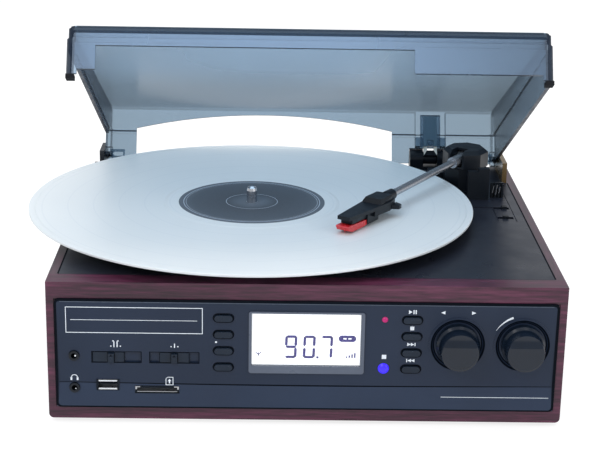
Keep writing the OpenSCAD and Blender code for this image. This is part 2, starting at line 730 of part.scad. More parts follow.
// speaker drawn on the Z axis, its rim at 0 and its magnet below
module speaker() {
    rotate_extrude() polygon([[0, -21], [14, -21], [14, -12], [18, -11], [speaker_r - 3, -1.5],
        [speaker_r, -1.5], [speaker_r, 0], [speaker_r - 4, 0], [speaker_r - 6, -1.2],
        [9, -7], [5, -5], [0, -4.2]]);
}
grille_back = 1.4;
module speakers() {
    color([0.15, 0.15, 0.16]) for (s = [-1, 1])
        translate([s * (inner_x - grille_back), grille_y, grille_z]) rotate([0, s * 90, 0]) speaker();
}
module speaker_grilles() {
    color([0.04, 0.04, 0.045]) for (s = [0, 1]) mirror([s, 0, 0]) difference() {
        union() {
            span([inner_x - grille_back, grille_y - grille_w / 2 - 4, grille_z - grille_h / 2 - 4],
                [inner_x, grille_y + grille_w / 2 + 4, grille_z + grille_h / 2 + 4]);
            span([inner_x - eps, grille_y - grille_w / 2 + fit, grille_z - grille_h / 2 + fit],
                [half_w + 0.6, grille_y + grille_w / 2 - fit, grille_z + grille_h / 2 - fit]);
        }
        // the cavity behind the louvres, then the louvres' slots
        span([inner_x - 2, grille_y - grille_w / 2 + 3, grille_z - grille_h / 2 + 3],
            [half_w - 1.6, grille_y + grille_w / 2 - 3, grille_z + grille_h / 2 - 3]);
        for (i = [0:8]) span([half_w - 2, grille_y - grille_w / 2 + 4, grille_z - grille_h / 2 + 4 + i * 4.1],
            [half_w + 1, grille_y + grille_w / 2 - 4, grille_z - grille_h / 2 + 6 + i * 4.1]);
    }
}

// drive
module motor() {
    color([0.6, 0.6, 0.62]) translate([motor_x, motor_y, 0]) difference() {
        union() {
            translate([0, 0, well_floor - 26]) cylinder(h = 24, r = 16);
            translate([0, 0, well_floor - 2 - eps]) cylinder(h = 2 + eps, r = 19);
        }
        translate([0, 0, well_floor - 14]) cylinder(h = 20, r = 1 + running);
    }
}
module spindle() {
    tip = record_z + record_t + spindle_out;
    color([0.75, 0.75, 0.77]) translate([spindle_x, spindle_y, 0]) rotate_extrude()
        polygon([[0, well_floor - 3], [9, well_floor - 3], [9, well_floor], [spindle_r, well_floor],
            [spindle_r, tip - 3], [spindle_r - 0.4, tip - 1.2], [1.4, tip], [0, tip]]);
}
// outline of an open belt round two wheels of radius a and b, c apart along X
function belt_points(a, b, c) =
    let(lean = acos((a - b) / c), big = (360 - 2 * lean) / 60, small = lean / 9)
    concat([for (i = [0:60]) a * [cos(lean + i * big), sin(lean + i * big)]],
        [for (i = [0:18]) [c, 0] + b * [cos(i * small - lean), sin(i * small - lean)]]);
module drive_belt() {
    color([0.05, 0.05, 0.05]) translate([spindle_x, spindle_y, belt_z]) rotate(motor_angle)
        linear_extrude(belt_h) difference() {
            polygon(belt_points(drive_r + running + belt_t, pulley_r + running + belt_t, motor_reach));
            polygon(belt_points(drive_r + running, pulley_r + running, motor_reach));
        }
}
module motor_pulley() {
    color([0.72, 0.58, 0.28]) translate([motor_x, motor_y, 0]) {
        translate([0, 0, well_floor - 12]) cylinder(h = pulley_z - well_floor + 12 + eps, r = 1);
        translate([0, 0, pulley_z]) rotate_extrude()
            polygon([[0, 0], [pulley_r + 1, 0], [pulley_r + 1, 0.5], [pulley_r, 0.6],
                [pulley_r, pulley_h - 0.6], [pulley_r + 1, pulley_h - 0.5],
                [pulley_r + 1, pulley_h], [0, pulley_h]]);
    }
}
module platter() {
    hub = spindle_r + running;
    color([0.12, 0.12, 0.13]) translate([spindle_x, spindle_y, 0]) rotate_extrude($fn = 120)
        polygon([[hub, hub_z], [8, hub_z], [8, plate_z], [drive_r - 3, plate_z],
            [drive_r - 3, hub_z + 0.6], [drive_r, hub_z + 0.6], [drive_r, plate_z],
            [platter_r - 3, plate_z], [platter_r - 3, well_z + 2.6], [platter_r, well_z + 2.6],
            [platter_r, mat_z - 0.8], [platter_r - 0.8, mat_z], [hub, mat_z]]);
}
module slip_mat() {
    color([0.1, 0.1, 0.1]) translate([spindle_x, spindle_y, mat_z]) difference() {
        cylinder(h = mat_t, r = platter_r - 1, $fn = 120);
        translate([0, 0, -1]) cylinder(h = mat_t + 2, r = spindle_r + 0.3);
    }
}
module record() {
    rim = record_d / 2;
    bead = 0.55;
    color([0.93, 0.94, 0.96]) translate([spindle_x, spindle_y, record_z]) rotate_extrude($fn = 160)
        polygon([[spindle_r + 0.08, 0], [rim - 0.4, 0], [rim, 0.4], [rim, record_t - 0.4],
            [rim - 0.4, record_t], [rim - 4, record_t], [rim - 5, record_t - bead / 2],
            [60, record_t - bead / 2], [58, record_t], [spindle_r + 0.08, record_t]]);
}

// tonearm
module arm_pedestal() {
    color([0.07, 0.07, 0.08]) difference() {
        translate([0, 0, deck_z]) union() {
            translate([pivot_x, pivot_y, 0]) rotate(22.5) linear_extrude(pedestal_h) eight_sided(pedestal_r);
            span([pivot_x - pedestal_r + 2, pivot_y, 0],
                [pivot_x + pedestal_r - 2, pivot_y + 22, pedestal_h - 4]);
            translate([pivot_x, pivot_y, 0]) rotate(22.5) linear_extrude(1.6) eight_sided(pedestal_r + 1.6);
            // wing towards the record, which carries the arm's cable
            span([pivot_x - pedestal_r - 10, pivot_y + 8, 0], [pivot_x - pedestal_r + 4, pivot_y + 21, 9]);
        }
        translate([pivot_x, pivot_y, deck_z - 1]) cylinder(h = pedestal_h + 2, r = swing_r + running);
    }
}
// eight-sided outline, r from its middle to a side
module eight_sided(r) { circle(r / cos(22.5), $fn = 8); }
// post that the parked arm is swung against, and the ribbed clip beside it
rest_reach = 28;
rest_w = 8;
rest_t = 5;
rest_x = pivot_x + rest_reach * sin(park_angle);
rest_y = pivot_y - rest_reach * cos(park_angle);
rest_z = arm_height - rest_reach * tan(tube_slope);
clip_w = 9;
clip_h = 10.7;
clip_x = pivot_x + 16.4;
clip_y = pivot_y - 23;
module arm_rest() {
    wall = rest_x + tube_r + 0.7;
    color([0.05, 0.05, 0.06]) {
        // shelf under the tube, and the wall that stops it
        span([rest_x - 4, rest_y - rest_t / 2, deck_z],
            [wall + eps, rest_y + rest_t / 2, rest_z - tube_r - gap]);
        span([wall, rest_y - rest_t / 2, deck_z], [wall + rest_w, rest_y + rest_t / 2, rest_z - 0.7]);
        // clip: back plate with four ribs on its front
        span([clip_x, clip_y, deck_z], [clip_x + clip_w, clip_y + 2.4, deck_z + clip_h]);
        for (i = [0:3]) span([clip_x + i * (clip_w - 1.4) / 3, clip_y - 2, deck_z],
            [clip_x + i * (clip_w - 1.4) / 3 + 1.4, clip_y + eps, deck_z + clip_h - 0.8]);
    }
}
// eight-sided housing on its swing shaft, with the slot that the arm tips in
module arm_housing() {
    top = housing_z + housing_h;
    color([0.06, 0.06, 0.07]) difference() {
        translate([pivot_x, pivot_y, 0]) rotate([0, 0, -arm_angle]) difference() {
            union() {
                translate([0, 0, housing_z]) rotate(22.5) linear_extrude(housing_h) eight_sided(housing_r);
                translate([0, 0, housing_z + 1 - 16]) cylinder(h = 16, r = swing_r);
            }
            translate([0, 0, top]) roof_cut();
            span([-gimbal_w / 2 - gap, -housing_r - 2, housing_z + 1.6], [gimbal_w / 2 + gap, 7, top - 1.8]);
            // the tube's way up through the roof's front edge
            span([-sleeve_r - 0.6, -housing_r - 2, housing_z + 4],
                [sleeve_r + 0.6, -housing_r + 10.4, top + 2]);
        }
        arm() rod_x(0, 0, -gimbal_w / 2 - 5, gimbal_w / 2 + 5, 1.5 + running);
    }
}
// the bevel round the housing's top
module roof_cut() {
    difference() {
        translate([0, 0, -2.6]) rotate(22.5) linear_extrude(4) eight_sided(housing_r + 1);
        translate([0, 0, -2.6 - eps]) rotate(22.5)
            linear_extrude(2.6 + 2 * eps, scale = 0.8) eight_sided(housing_r);
    }
}
module arm_tube() {
    color([0.62, 0.62, 0.64]) arm() {
        rod_x(0, 0, -gimbal_w / 2 - 4, gimbal_w / 2 + 4, 1.5);
        rod_x(0, 0, -gimbal_w / 2, gimbal_w / 2, gimbal_r);
        rotate([90 + tube_slope, 0, 0]) translate([0, 0, 2]) cylinder(h = head_reach + 4, r = tube_r);
        rotate([90 + tube_slope, 0, 0]) translate([0, 0, 3]) cylinder(h = 18, r = sleeve_r);
    }
}
// head() puts the tube's end at the origin, with +Y towards the pivot and the shell along -Y
module head() { arm() translate([0, -head_reach, -head_drop]) children(); }
// headshell: collar, tapered roof with cheeks, raised block, and the finger lift at the rear
module headshell() {
    color([0.05, 0.05, 0.055]) head() difference() {
        union() {
            rod_y(0, 0, -9, 1, tube_r + 1.3);
            translate([0, 0, -2.4]) linear_extrude(2.4)
                polygon([[-6.4, -6], [6.4, -6], [8.6, -16], [6.8, -38],
                    [4.6, -62], [-4.6, -62], [-6.8, -38], [-8.6, -16]]);
            for (s = [0, 1]) mirror([s, 0, 0]) translate([0, 0, -5.8]) linear_extrude(3.4 + eps)
                polygon([[4.6, -6], [6.4, -6], [8.6, -16], [7.2, -34], [5.4, -34], [6.6, -16]]);
            intersection() {
                translate([0, 0, -1]) linear_extrude(6)
                    polygon([[-6.4, -10], [-3, -8], [3, -8], [6.4, -10], [7.4, -26], [-7.4, -26]]);
                translate([-9, 0, 0]) rotate([90, 0, 90]) linear_extrude(18)
                    polygon([[-8, -0.5], [-9, 3.4], [-24.4, 3.4], [-26, -0.5]]);
                translate([0, -27, 0]) rotate([90, 0, 180]) linear_extrude(20)
                    polygon([[-7.6, -0.5], [-7.2, 1], [-5.8, 3.4], [5.8, 3.4], [7.2, 1], [7.6, -0.5]]);
            }
            translate([0, 0, -5.8]) linear_extrude(2.6)
                polygon([[6.2, -4], [11.6, -6.4], [12.2, -10], [7.4, -13]]);
            span([-5.4, -8, -5.8], [5.4, -5.6, -2.4 + eps]);
        }
        rod_y(0, 0, -7, 2, tube_r + 0.05);
    }
}
module cartridge() {
    color([0.08, 0.08, 0.09]) head() {
        span([-5.2, -40, -record_drop + 1.4], [5.2, -26, -2.4]);
        span([-4.2, -58, -5.6], [4.2, -40 + eps, -2.4]);
        for (x = [-3.6, -1.2, 1.2, 3.6]) rod_y(x, -4.2, -26 - eps, -20, 0.4);
    }
}
// red stylus carrier, open on top, with the tip on the record
module stylus() {
    low = -record_drop + 0.9;
    color([0.8, 0.08, 0.08]) head() {
        difference() {
            translate([-4.6, 0, 0]) rotate([90, 0, 90]) linear_extrude(9.2)
                polygon([[-40.2, low + 3.6], [-40.2, low + 0.2], [-44, low], [-58, low],
                    [-62.4, low + 1.4], [-64, low + 4], [-63.2, -5.9], [-60, -5.9], [-44, low + 3.9]]);
            span([-3.4, -59, low + 1.4], [3.4, -43, 0]);
        }
        translate([0, -60, -record_drop + stylus_gap]) cylinder(h = 2.2, r1 = 0.12, r2 = 0.7);
    }
}

// dust cover, drawn closed and then opened
module cover_outline(in) {
    rounded_outline([-cover_half + in, cover_front + in], [cover_half - in, cover_rear - in * 0.6],
        max(cover_r - in, 1.5));
}
// the cover's top slopes up to the rear; this is the room at the depth d under it
function top_at(y) = deck_z + cover_h + cover_rise * (y - cover_front) / (cover_rear - cover_front);
module under_top(d) {
    translate([-cover_half - 1, 0, 0]) rotate([90, 0, 90]) linear_extrude(2 * cover_half + 2)
        polygon([[cover_front - 1, cover_low - 2], [cover_rear + 1, cover_low - 2],
            [cover_rear + 1, top_at(cover_rear + 1) - d], [cover_front - 1, top_at(cover_front - 1) - d]]);
}
// the outline drawn in by i, from the height z up to the depth d under the top
module under_outline(i, z, d) {
    intersection() {
        translate([0, 0, z]) linear_extrude(cover_peak - z) cover_outline(i);
        under_top(d);
    }
}
pocket_top = top_at(cover_rear - cover_t - socket_d) - cover_t - 2;
module dust_cover() {
    color([0.3, 0.38, 0.5, 0.55]) open_cover() difference() {
        union() {
            difference() {
                union() {
                    translate([0, 0, cover_low]) linear_extrude(ledge - cover_low) cover_outline(0);
                    under_outline(ledge_w, ledge - eps, top_round);
                    under_outline(ledge_w + top_round, ledge - eps, 0);
                }
                translate([0, 0, cover_low - 1])
                    linear_extrude(ledge - cover_t + 1 - cover_low) cover_outline(cover_t);
                under_outline(cover_t + ledge_w, cover_low, cover_t);
            }
            // socket for the hinge blade on the rear wall
            intersection() {
                span([hinge_x - socket_w / 2, cover_rear - cover_t - socket_d, cover_low + 6],
                    [hinge_x + socket_w / 2, cover_rear - cover_t + 0.6, cover_peak]);
                under_top(cover_t / 2);
            }
            // ears of the corner pivots
            for (s = [-1, 1]) cover_ear(s);
        }
        // blade pocket
        span([hinge_x - socket_w / 2 + 4, cover_rear - cover_t - socket_d + 2, cover_low],
            [hinge_x + socket_w / 2 - 4, cover_rear - cover_t - 1, pocket_top]);
        // front notch and finger gap
        span([spindle_x - 94, cover_front - 1, cover_low - 1], [spindle_x + 99, cover_front + 14, notch_top]);
        span([-cover_half + cover_r, cover_front - 1, cover_low - 1],
            [cover_half - cover_r, cover_front + 14, front_low]);
        // left side cut where the record overhangs
        span([-cover_half - 1, cover_front + 9, cover_low - 1], [-cover_half + 8, cover_rear - 16, left_cut]);
        rear_arch();
        // the wall clears the friction hinge, and the ears take the corner pins
        span([hinge_x - hinge_half - 0.6, cover_rear - 12, cover_low - 1],
            [hinge_x + hinge_half + 0.6, cover_rear + 3, hinge_z + hinge_r + 1]);
        for (s = [-1, 1]) rod_x(hinge_y, hinge_z, s * cover_half - 12, s * cover_half + 12, pin_r + running);
    }
}
// pivot eye at a rear corner
module cover_ear(s) {
    x = s > 0 ? cover_half - ear_t : -cover_half;
    rod_x(hinge_y, hinge_z, x, x + ear_t, ear_r);
    span([x, cover_rear - 16, cover_low + 1], [x + ear_t, hinge_y, ledge]);
    span([x, cover_rear - 4, hinge_z], [x + ear_t, hinge_y + ear_r, hinge_z + 6]);
}
// arched cut of the rear wall, which clears the record's edge
module rear_arch() {
    left = spindle_x - 90;
    right = spindle_x + 105;
    crown = arch_crown - skirt_gap;
    spring = arch_spring - skirt_gap;
    span_w = right - left;
    rise = crown - spring;
    arch_r = (span_w * span_w / 4 + rise * rise) / (2 * rise);
    translate([0, cover_rear - 12, cover_low]) {
        span([left, 0, -1], [right, 20, spring]);
        intersection() {
            translate([(left + right) / 2, 0, crown - arch_r]) rotate([-90, 0, 0])
                cylinder(h = 20, r = arch_r, $fn = 120);
            span([left, 0, spring - 1], [right, 20, crown + 1]);
        }
    }
}
// inverted U that plugs into the cover's socket, on a knuckle that turns on the hinge's axle
module hinge_blade() {
    y1 = cover_rear - cover_t - 1.2;
    color([0.85, 0.85, 0.85]) open_cover() {
        difference() {
            span([hinge_x - 5, y1 - 3.4, hinge_z + 1], [hinge_x + 5, y1, pocket_top - 1]);
            span([hinge_x - 2.6, y1 - 4, hinge_z + knuckle_r + 0.6], [hinge_x + 2.6, y1 + 1, hinge_z + 13]);
        }
        difference() {
            union() {
                rod_x(hinge_y, hinge_z, hinge_x - 5, hinge_x + 5, knuckle_r);
                span([hinge_x - 5, y1 - 3.4, hinge_z + 1], [hinge_x + 5, hinge_y, hinge_z + knuckle_r]);
            }
            rod_x(hinge_y, hinge_z, hinge_x - 6, hinge_x + 6, pin_r + running);
        }
    }
}
module cover_bumpers() {
    color([0.03, 0.03, 0.03]) open_cover() for (s = [0, 1]) mirror([s, 0, 0])
        span([cover_half - 5.4, cover_front + 0.6, deck_z + gap],
            [cover_half - 0.4, cover_front + 8, cover_low]);
}
// friction hinge on the deck's rear edge: base, two cheeks and the axle between them
module hinge_body() {
    color([0.04, 0.04, 0.045]) {
        span([hinge_x - hinge_half + 1, hinge_y - hinge_r, deck_z],
            [hinge_x + hinge_half - 1, cabinet_d, deck_z + 2]);
        for (s = [-1, 1]) {
            x0 = s > 0 ? hinge_x + 5 + gap : hinge_x - hinge_half + 1;
            x1 = s > 0 ? hinge_x + hinge_half - 1 : hinge_x - 5 - gap;
            rod_x(hinge_y, hinge_z, x0, x1, hinge_r);
            span([x0, hinge_y - hinge_r, deck_z + 2 - eps], [x1, cabinet_d, hinge_z]);
        }
        rod_x(hinge_y, hinge_z, hinge_x - hinge_half, hinge_x + hinge_half - 1 - eps, pin_r);
    }
}
// corner brackets on the deck, each with the pin that its ear turns on
module hinge_ears() {
    color([0.55, 0.4, 0.2]) {
        corner_bracket(bracket_l);
        mirror([1, 0, 0]) corner_bracket(bracket_short);
    }
}
module corner_bracket(l) {
    x0 = cover_half + gap;
    x1 = inner_x - fit;
    rod_x(hinge_y, hinge_z, cover_half - ear_t, x0 + eps, pin_r);
    span([x0, cabinet_d - l, deck_z], [x1, cabinet_d, deck_z + bracket_h]);
}

// cassette side
module cassette_frame() {
    y0 = mouth_y - mouth_w / 2;
    y1 = mouth_y + mouth_w / 2;
    low = mouth_mid - mouth_h / 2;
    high = mouth_mid + mouth_h / 2;
    color([0.05, 0.05, 0.055]) difference() {
        union() {
            span([half_w, y0 - 6, low - 6], [half_w + 1.6, eject_y + 9, high + 6]);
            span([inner_x, y0 - frame_t + fit, low - frame_t + fit],
                [half_w + eps, y1 + frame_t - fit, high + frame_t - fit]);
        }
        span([inner_x - 1, y0, low], [half_w + 3, y1, high]);
        rod_x(eject_y, mouth_mid, half_w - 1, half_w + 3, 4 + gap);
        for (s = [-1, 1]) translate([door_x, mouth_y + s * (mouth_w / 2 + 0.9), door_z]) rotate([90, 0, 0])
            cylinder(h = 2, r = 0.8 + running, center = true);
    }
}
door_x = half_w - 1.6;
door_z = mouth_mid + mouth_h / 2 - 1.4;
module cassette_door() {
    color([0.07, 0.07, 0.08]) {
        span([door_x - 0.8, mouth_y - mouth_w / 2 + gap, mouth_mid - mouth_h / 2 + gap],
            [door_x + 0.8, mouth_y + mouth_w / 2 - gap, door_z]);
        translate([door_x, mouth_y + mouth_w / 2 + 0.8, door_z]) rotate([90, 0, 0])
            cylinder(h = mouth_w + 1.6, r = 0.8);
    }
}
module eject_button() {
    color([0.1, 0.1, 0.11]) {
        rod_x(eject_y, mouth_mid, inner_x - gap - 0.6, half_w + eject_out, 4);
        rod_x(eject_y, mouth_mid, inner_x - 1.6 - gap, inner_x - gap, 6);
    }
}
module cassette_tray() {
    x1 = inner_x;
    x0 = inner_x - tray_d - tray_wall;
    y0 = mouth_y - mouth_w / 2 - tray_wall;
    y1 = mouth_y + mouth_w / 2 + tray_wall;
    low = mouth_mid - mouth_h / 2;
    high = mouth_mid + mouth_h / 2;
    color([0.5, 0.5, 0.52]) {
        difference() {
            span([x0, y0, low - 7], [x1, y1, high + tray_wall]);
            span([x0 + tray_wall, y0 + tray_wall, low], [x1 + 1, y1 - tray_wall, high]);
            span([x0 + 14, mouth_y - 34, low - 5], [x0 + 44, mouth_y + 34, low + 1]);
        }
        // the two reel spindles stand in the well under the cassette
        for (s = [-1, 1]) translate([x0 + 29, mouth_y + s * 21.25, low - 5 - eps])
            cylinder(h = 4.6, r = 3.2, $fn = 6);
        for (y = [y0 + 8, y1 - 8], x = [x0 + 10, x1 - 16]) translate([x, y, z0 + bottom_t])
            cylinder(h = low - 7 - z0 - bottom_t + eps, r = 3);
    }
}

// rear
module rear_sockets() {
    color([0.8, 0.8, 0.82]) for (x = rca_xs()) difference() {
        union() {
            rod_y(x, rca_z, cabinet_d - 10, cabinet_d + 8, rca_r);
            rod_y(x, rca_z, cabinet_d, cabinet_d + 1.2, rca_r + 2.4);
            rod_y(x, rca_z, cabinet_d - rear_t - 2, cabinet_d - rear_t, rca_r + 2.4);
        }
        rod_y(x, rca_z, cabinet_d - 4, cabinet_d + 9, 1.6);
    }
}
module cord_gland() {
    color([0.04, 0.04, 0.04]) difference() {
        union() {
            rod_y(gland_x, gland_z, cabinet_d - rear_t - 3, cabinet_d, gland_r - 0.1);
            rod_y(gland_x, gland_z, cabinet_d, cabinet_d + 3, gland_r + 1.6);
            rod_y(gland_x, gland_z, cabinet_d - rear_t - 3, cabinet_d - rear_t, gland_r + 1);
        }
        rod_y(gland_x, gland_z, cabinet_d - rear_t - 5, cabinet_d + 5, 3);
    }
}

// knobs
module knob(x) {
    front = -fascia_proud - knob_out;
    floor_y = -fascia_proud + knob_dish - gap - 0.2;
    color([0.06, 0.06, 0.07]) translate([x, 0, z0 + knob_z]) rotate([-90, 0, 0]) difference() {
        rotate_extrude() polygon([[0, front], [knob_r - 1.4, front], [knob_r - 0.4, front + 0.4],
            [knob_r, front + 1.4], [knob_r + 0.5, -fascia_proud - 5], [knob_skirt_r, -fascia_proud - 3.4],
            [knob_skirt_r, floor_y], [shaft_r, floor_y], [shaft_r, board_y - 1.6], [0, board_y - 1.6]]);
        // the grip's shallow scoop in the upper half of the face
        translate([0, -knob_r * 0.9, front - knob_r * 0.9 + 1]) rotate([0, 90, 0])
            cylinder(h = 3 * knob_r, r = knob_r * 0.98, center = true);
    }
}
module tuning_knob() { knob(tuning_at); }
module volume_knob() { knob(volume_at); }

module push_button(x, i) {
    z = button_z(i);
    color([0.13, 0.14, 0.16]) {
        pill(x, z, button_w, button_h, -fascia_proud - button_out, fascia_back + gap + eps);
        pill(x, z, button_w + 2, button_h + 1.6, fascia_back + gap, fascia_back + gap + 1);
        rod_y(x, z, fascia_back + gap + 1 - eps, board_y - 1.6 - button_travel - gap, 1.4);
    }
}
module mode_button() { push_button(left_at, 0); }
module program_button() { push_button(left_at, 1); }
module record_button() { push_button(left_at, 2); }
module delete_button() { push_button(left_at, 3); }
module play_button() { push_button(right_at, 0); }
module stop_button() { push_button(right_at, 1); }
module next_button() { push_button(right_at, 2); }
module previous_button() { push_button(right_at, 3); }

// slider on the front: plate of width w in the window, grip, neck, and the foot behind the moulding;
// x is the plate's middle, the grip stands beside it by shift and the neck at x
module front_slider(x, w, shift) {
    z = z0 + slide_z;
    high = slide_h / 2 - gap - 0.1;
    color([0.12, 0.12, 0.13]) {
        span([x - w / 2, -fascia_proud + 0.1, z - high],
            [x + w / 2, -fascia_proud + slide_depth - gap, z + high]);
        span([x + shift - grip_w / 2, -fascia_proud - grip_out, z - high + 0.2],
            [x + shift + grip_w / 2, -fascia_proud + 0.1 + eps, z + high - 0.2]);
        span([x - neck_r, -fascia_proud + 0.5, z - neck_r], [x + neck_r, board_y - 1.6, z + neck_r]);
        span([x - 4, fascia_back + gap, z - 3], [x + 4, fascia_back + gap + 1, z + 3]);
    }
}
module function_switch() { front_slider(function_rest, function_plate, 1.6); }
module band_switch() { front_slider(band_at, band_plate, 0); }

place() side_panel_left();
place() side_panel_right();
place() front_board();
place() rear_board();
place() bottom_board();
place() feet();
place() bottom_screws();
place() deck();
place() fascia();
place() lcd_frame();
place() lcd_window();
place() lcd_module();
place() control_board();
place() jack_sockets();
place() usb_socket();
place() card_socket();
place() indicators();
place() main_board();
place() transformer();
place() speakers();
place() speaker_grilles();
place() motor();
place() spindle();
place() drive_belt();
place() arm_pedestal();
place() arm_rest();
place() hinge_body();
place() hinge_ears();
place() cassette_frame();
place() cassette_tray();
place() rear_sockets();
place() cord_gland();
place() platter();
place() slip_mat();
place() record();
place() motor_pulley();
place() arm_housing();
place() arm_tube();
place() headshell();
place() cartridge();
place() stylus();
place() dust_cover();
place() hinge_blade();
place() cover_bumpers();
place() tuning_knob();
place() volume_knob();
place() mode_button();
place() program_button();
place() record_button();
place() delete_button();
place() play_button();
place() stop_button();
place() next_button();
place() previous_button();
place() function_switch();
place() band_switch();
place() speed_switch();
place() auto_stop_switch();
place() cassette_door();
place() eject_button();
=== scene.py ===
"""Looks of the stereo music centre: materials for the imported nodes, printed marks and small pieces.

Lengths in the helpers are millimetres in the cabinet's axes: x from the middle of the cabinet,
y back from the front board's face, z up from the table. at() turns them into the frame's metres.
"""
import math

import bmesh
import bpy
from mathutils import Matrix, Vector


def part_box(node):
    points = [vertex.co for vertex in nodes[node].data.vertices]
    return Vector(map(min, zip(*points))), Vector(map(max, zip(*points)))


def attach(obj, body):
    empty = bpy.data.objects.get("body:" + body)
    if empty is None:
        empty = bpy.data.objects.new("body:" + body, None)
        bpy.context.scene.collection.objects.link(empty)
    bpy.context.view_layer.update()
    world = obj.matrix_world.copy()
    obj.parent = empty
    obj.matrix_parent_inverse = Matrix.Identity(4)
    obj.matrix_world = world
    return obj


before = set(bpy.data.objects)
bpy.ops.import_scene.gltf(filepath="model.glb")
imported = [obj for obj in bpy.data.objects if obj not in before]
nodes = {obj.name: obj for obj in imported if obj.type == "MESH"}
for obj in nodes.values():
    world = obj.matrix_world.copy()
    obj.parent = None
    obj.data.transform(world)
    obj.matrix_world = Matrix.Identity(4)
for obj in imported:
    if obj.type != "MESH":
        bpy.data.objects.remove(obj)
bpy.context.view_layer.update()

MM = 0.001
board_lo, board_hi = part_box("front_board")
_, record_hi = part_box("record")
spindle_lo, spindle_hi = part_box("spindle")
CENTRE_X = (board_lo.x + board_hi.x) / 2
FRONT_Y = board_lo.y
SPINDLE = ((spindle_lo.x + spindle_hi.x) / 2, (spindle_lo.y + spindle_hi.y) / 2)
RECORD_TOP = record_hi.z
DECK = board_hi.z
DECK_MM = DECK / MM


def at(x, y, z):
    """Cabinet millimetres to frame metres."""
    return Vector((CENTRE_X + x * MM, FRONT_Y + y * MM, z * MM))


def depth(y):
    """Depth behind the front board's face, in the frame's metres."""
    return FRONT_Y + y * MM


# the cover: how far it is open, its hinge, and, when it is closed, its front, the height of its top
# over the deck there, and how the top rises to the rear
OPEN = 27.0
HINGE_X = 98.0
HINGE_Y = 268.1
HINGE_UP = 7.15
BARREL_R = 6.6
HINGE = at(0, HINGE_Y, DECK_MM + HINGE_UP)
CLOSING = Matrix.Rotation(math.radians(OPEN), 3, "X")
OPENING = Matrix.Rotation(math.radians(-OPEN), 3, "X")
COVER_FRONT = 13.2
ROOF_FRONT_UP = 30.0
ROOF_RISE = 0.043

# the fascia's face: its depth, the fold, and the band that leans out below the fold
FACE_Y = -1.0
FOLD_Z = 26.9
BAND_FOOT_Z = 12.3
BAND_LEAN = 1.4

# what stands on the fascia: the two columns of keys, the slide switches and the knobs in their dishes
KEY_COLUMNS = (-50.7, 63.9)
KEYS_IN_COLUMN = 4
TOP_KEY_Z = 70.4
KEY_PITCH = 10.65
FUNCTION_X, BAND_X = -115.8, -80.6
TUNING_X, VOLUME_X = 92.1, 131.8
KNOB_Z = 54.6
DISH_R = 16.8
DISH_W = 2.5
DISH_Y = -1.5
DISH_FALL = 1.9

# a noise texture's output lies mostly between these
NOISE_LOW, NOISE_HIGH = 0.3, 0.7
GRAIN_DEPTH = 0.0002

# shader nodes


def cleared(owner):
    """The node tree of a material or world, emptied."""
    owner.use_nodes = True
    owner.node_tree.nodes.clear()
    return owner.node_tree


def link(tree, a, b):
    tree.links.new(a, b)


def new_material(name):
    m = bpy.data.materials.new(name)
    tree = cleared(m)
    out = tree.nodes.new("ShaderNodeOutputMaterial")
    bsdf = tree.nodes.new("ShaderNodeBsdfPrincipled")
    link(tree, bsdf.outputs[0], out.inputs[0])
    return m, tree, bsdf


def object_coords(tree, scale=(1, 1, 1), location=(0, 0, 0), rotation=(0, 0, 0)):
    coord = tree.nodes.new("ShaderNodeTexCoord")
    mapping = tree.nodes.new("ShaderNodeMapping")
    mapping.inputs["Scale"].default_value = scale
    mapping.inputs["Location"].default_value = location
    mapping.inputs["Rotation"].default_value = rotation
    link(tree, coord.outputs["Object"], mapping.inputs[0])
    return mapping.outputs[0]


def separate(tree, vector):
    """The x, y and z of a vector."""
    n = tree.nodes.new("ShaderNodeSeparateXYZ")
    link(tree, vector, n.inputs[0])
    return n.outputs


def noise(tree, vector, scale, detail=3.0, rough=0.5, distortion=0.0):
    n = tree.nodes.new("ShaderNodeTexNoise")
    n.inputs["Scale"].default_value = scale
    n.inputs["Detail"].default_value = detail
    n.inputs["Roughness"].default_value = rough
    n.inputs["Distortion"].default_value = distortion
    link(tree, vector, n.inputs["Vector"])
    return n.outputs["Fac"]


def ramp(tree, fac, stops):
    r = tree.nodes.new("ShaderNodeValToRGB")
    elements = r.color_ramp.elements
    while len(elements) < len(stops):
        elements.new(0.5)
    for e, (pos, rgb) in zip(elements, stops):
        e.position = pos
        e.color = (*rgb, 1)
    link(tree, fac, r.inputs[0])
    return r.outputs[0]


def ramp_value(tree, fac, stops):
    return ramp(tree, fac, [(pos, (v, v, v)) for pos, v in stops])


def remap(tree, value, from_low, from_high, to_low=0.0, to_high=1.0):
    """Low below the first range, high above it, and even between."""
    m = tree.nodes.new("ShaderNodeMapRange")
    m.inputs["From Min"].default_value = from_low
    m.inputs["From Max"].default_value = from_high
    m.inputs["To Min"].default_value = to_low
    m.inputs["To Max"].default_value = to_high
    link(tree, value, m.inputs["Value"])
    return m.outputs[0]


def spread(tree, fac, low, high):
    """A noise spread from low to high."""
    return remap(tree, fac, NOISE_LOW, NOISE_HIGH, low, high)


def tinted(tree, factor, colour):
    """Colour times a factor."""
    n = tree.nodes.new("ShaderNodeVectorMath")
    n.operation = "MULTIPLY"
    link(tree, colour, n.inputs[0])
    link(tree, factor, n.inputs[1])
    return n.outputs[0]


def mixed(tree, factor, a, b):
    """Colour a where the factor is 0 and b where it is 1; b can be a plain colour."""
    mix = tree.nodes.new("ShaderNodeMix")
    mix.data_type = "RGBA"
    link(tree, factor, mix.inputs["Factor"])
    link(tree, a, mix.inputs["A"])
    if isinstance(b, tuple):
        mix.inputs["B"].default_value = (*b, 1)
    else:
        link(tree, b, mix.inputs["B"])
    return mix.outputs["Result"]


def mixed_shaders(tree, factor, a, b):
    mix = tree.nodes.new("ShaderNodeMixShader")
    for i, output in enumerate((factor, a, b)):
        link(tree, output, mix.inputs[i])
    return mix.outputs[0]


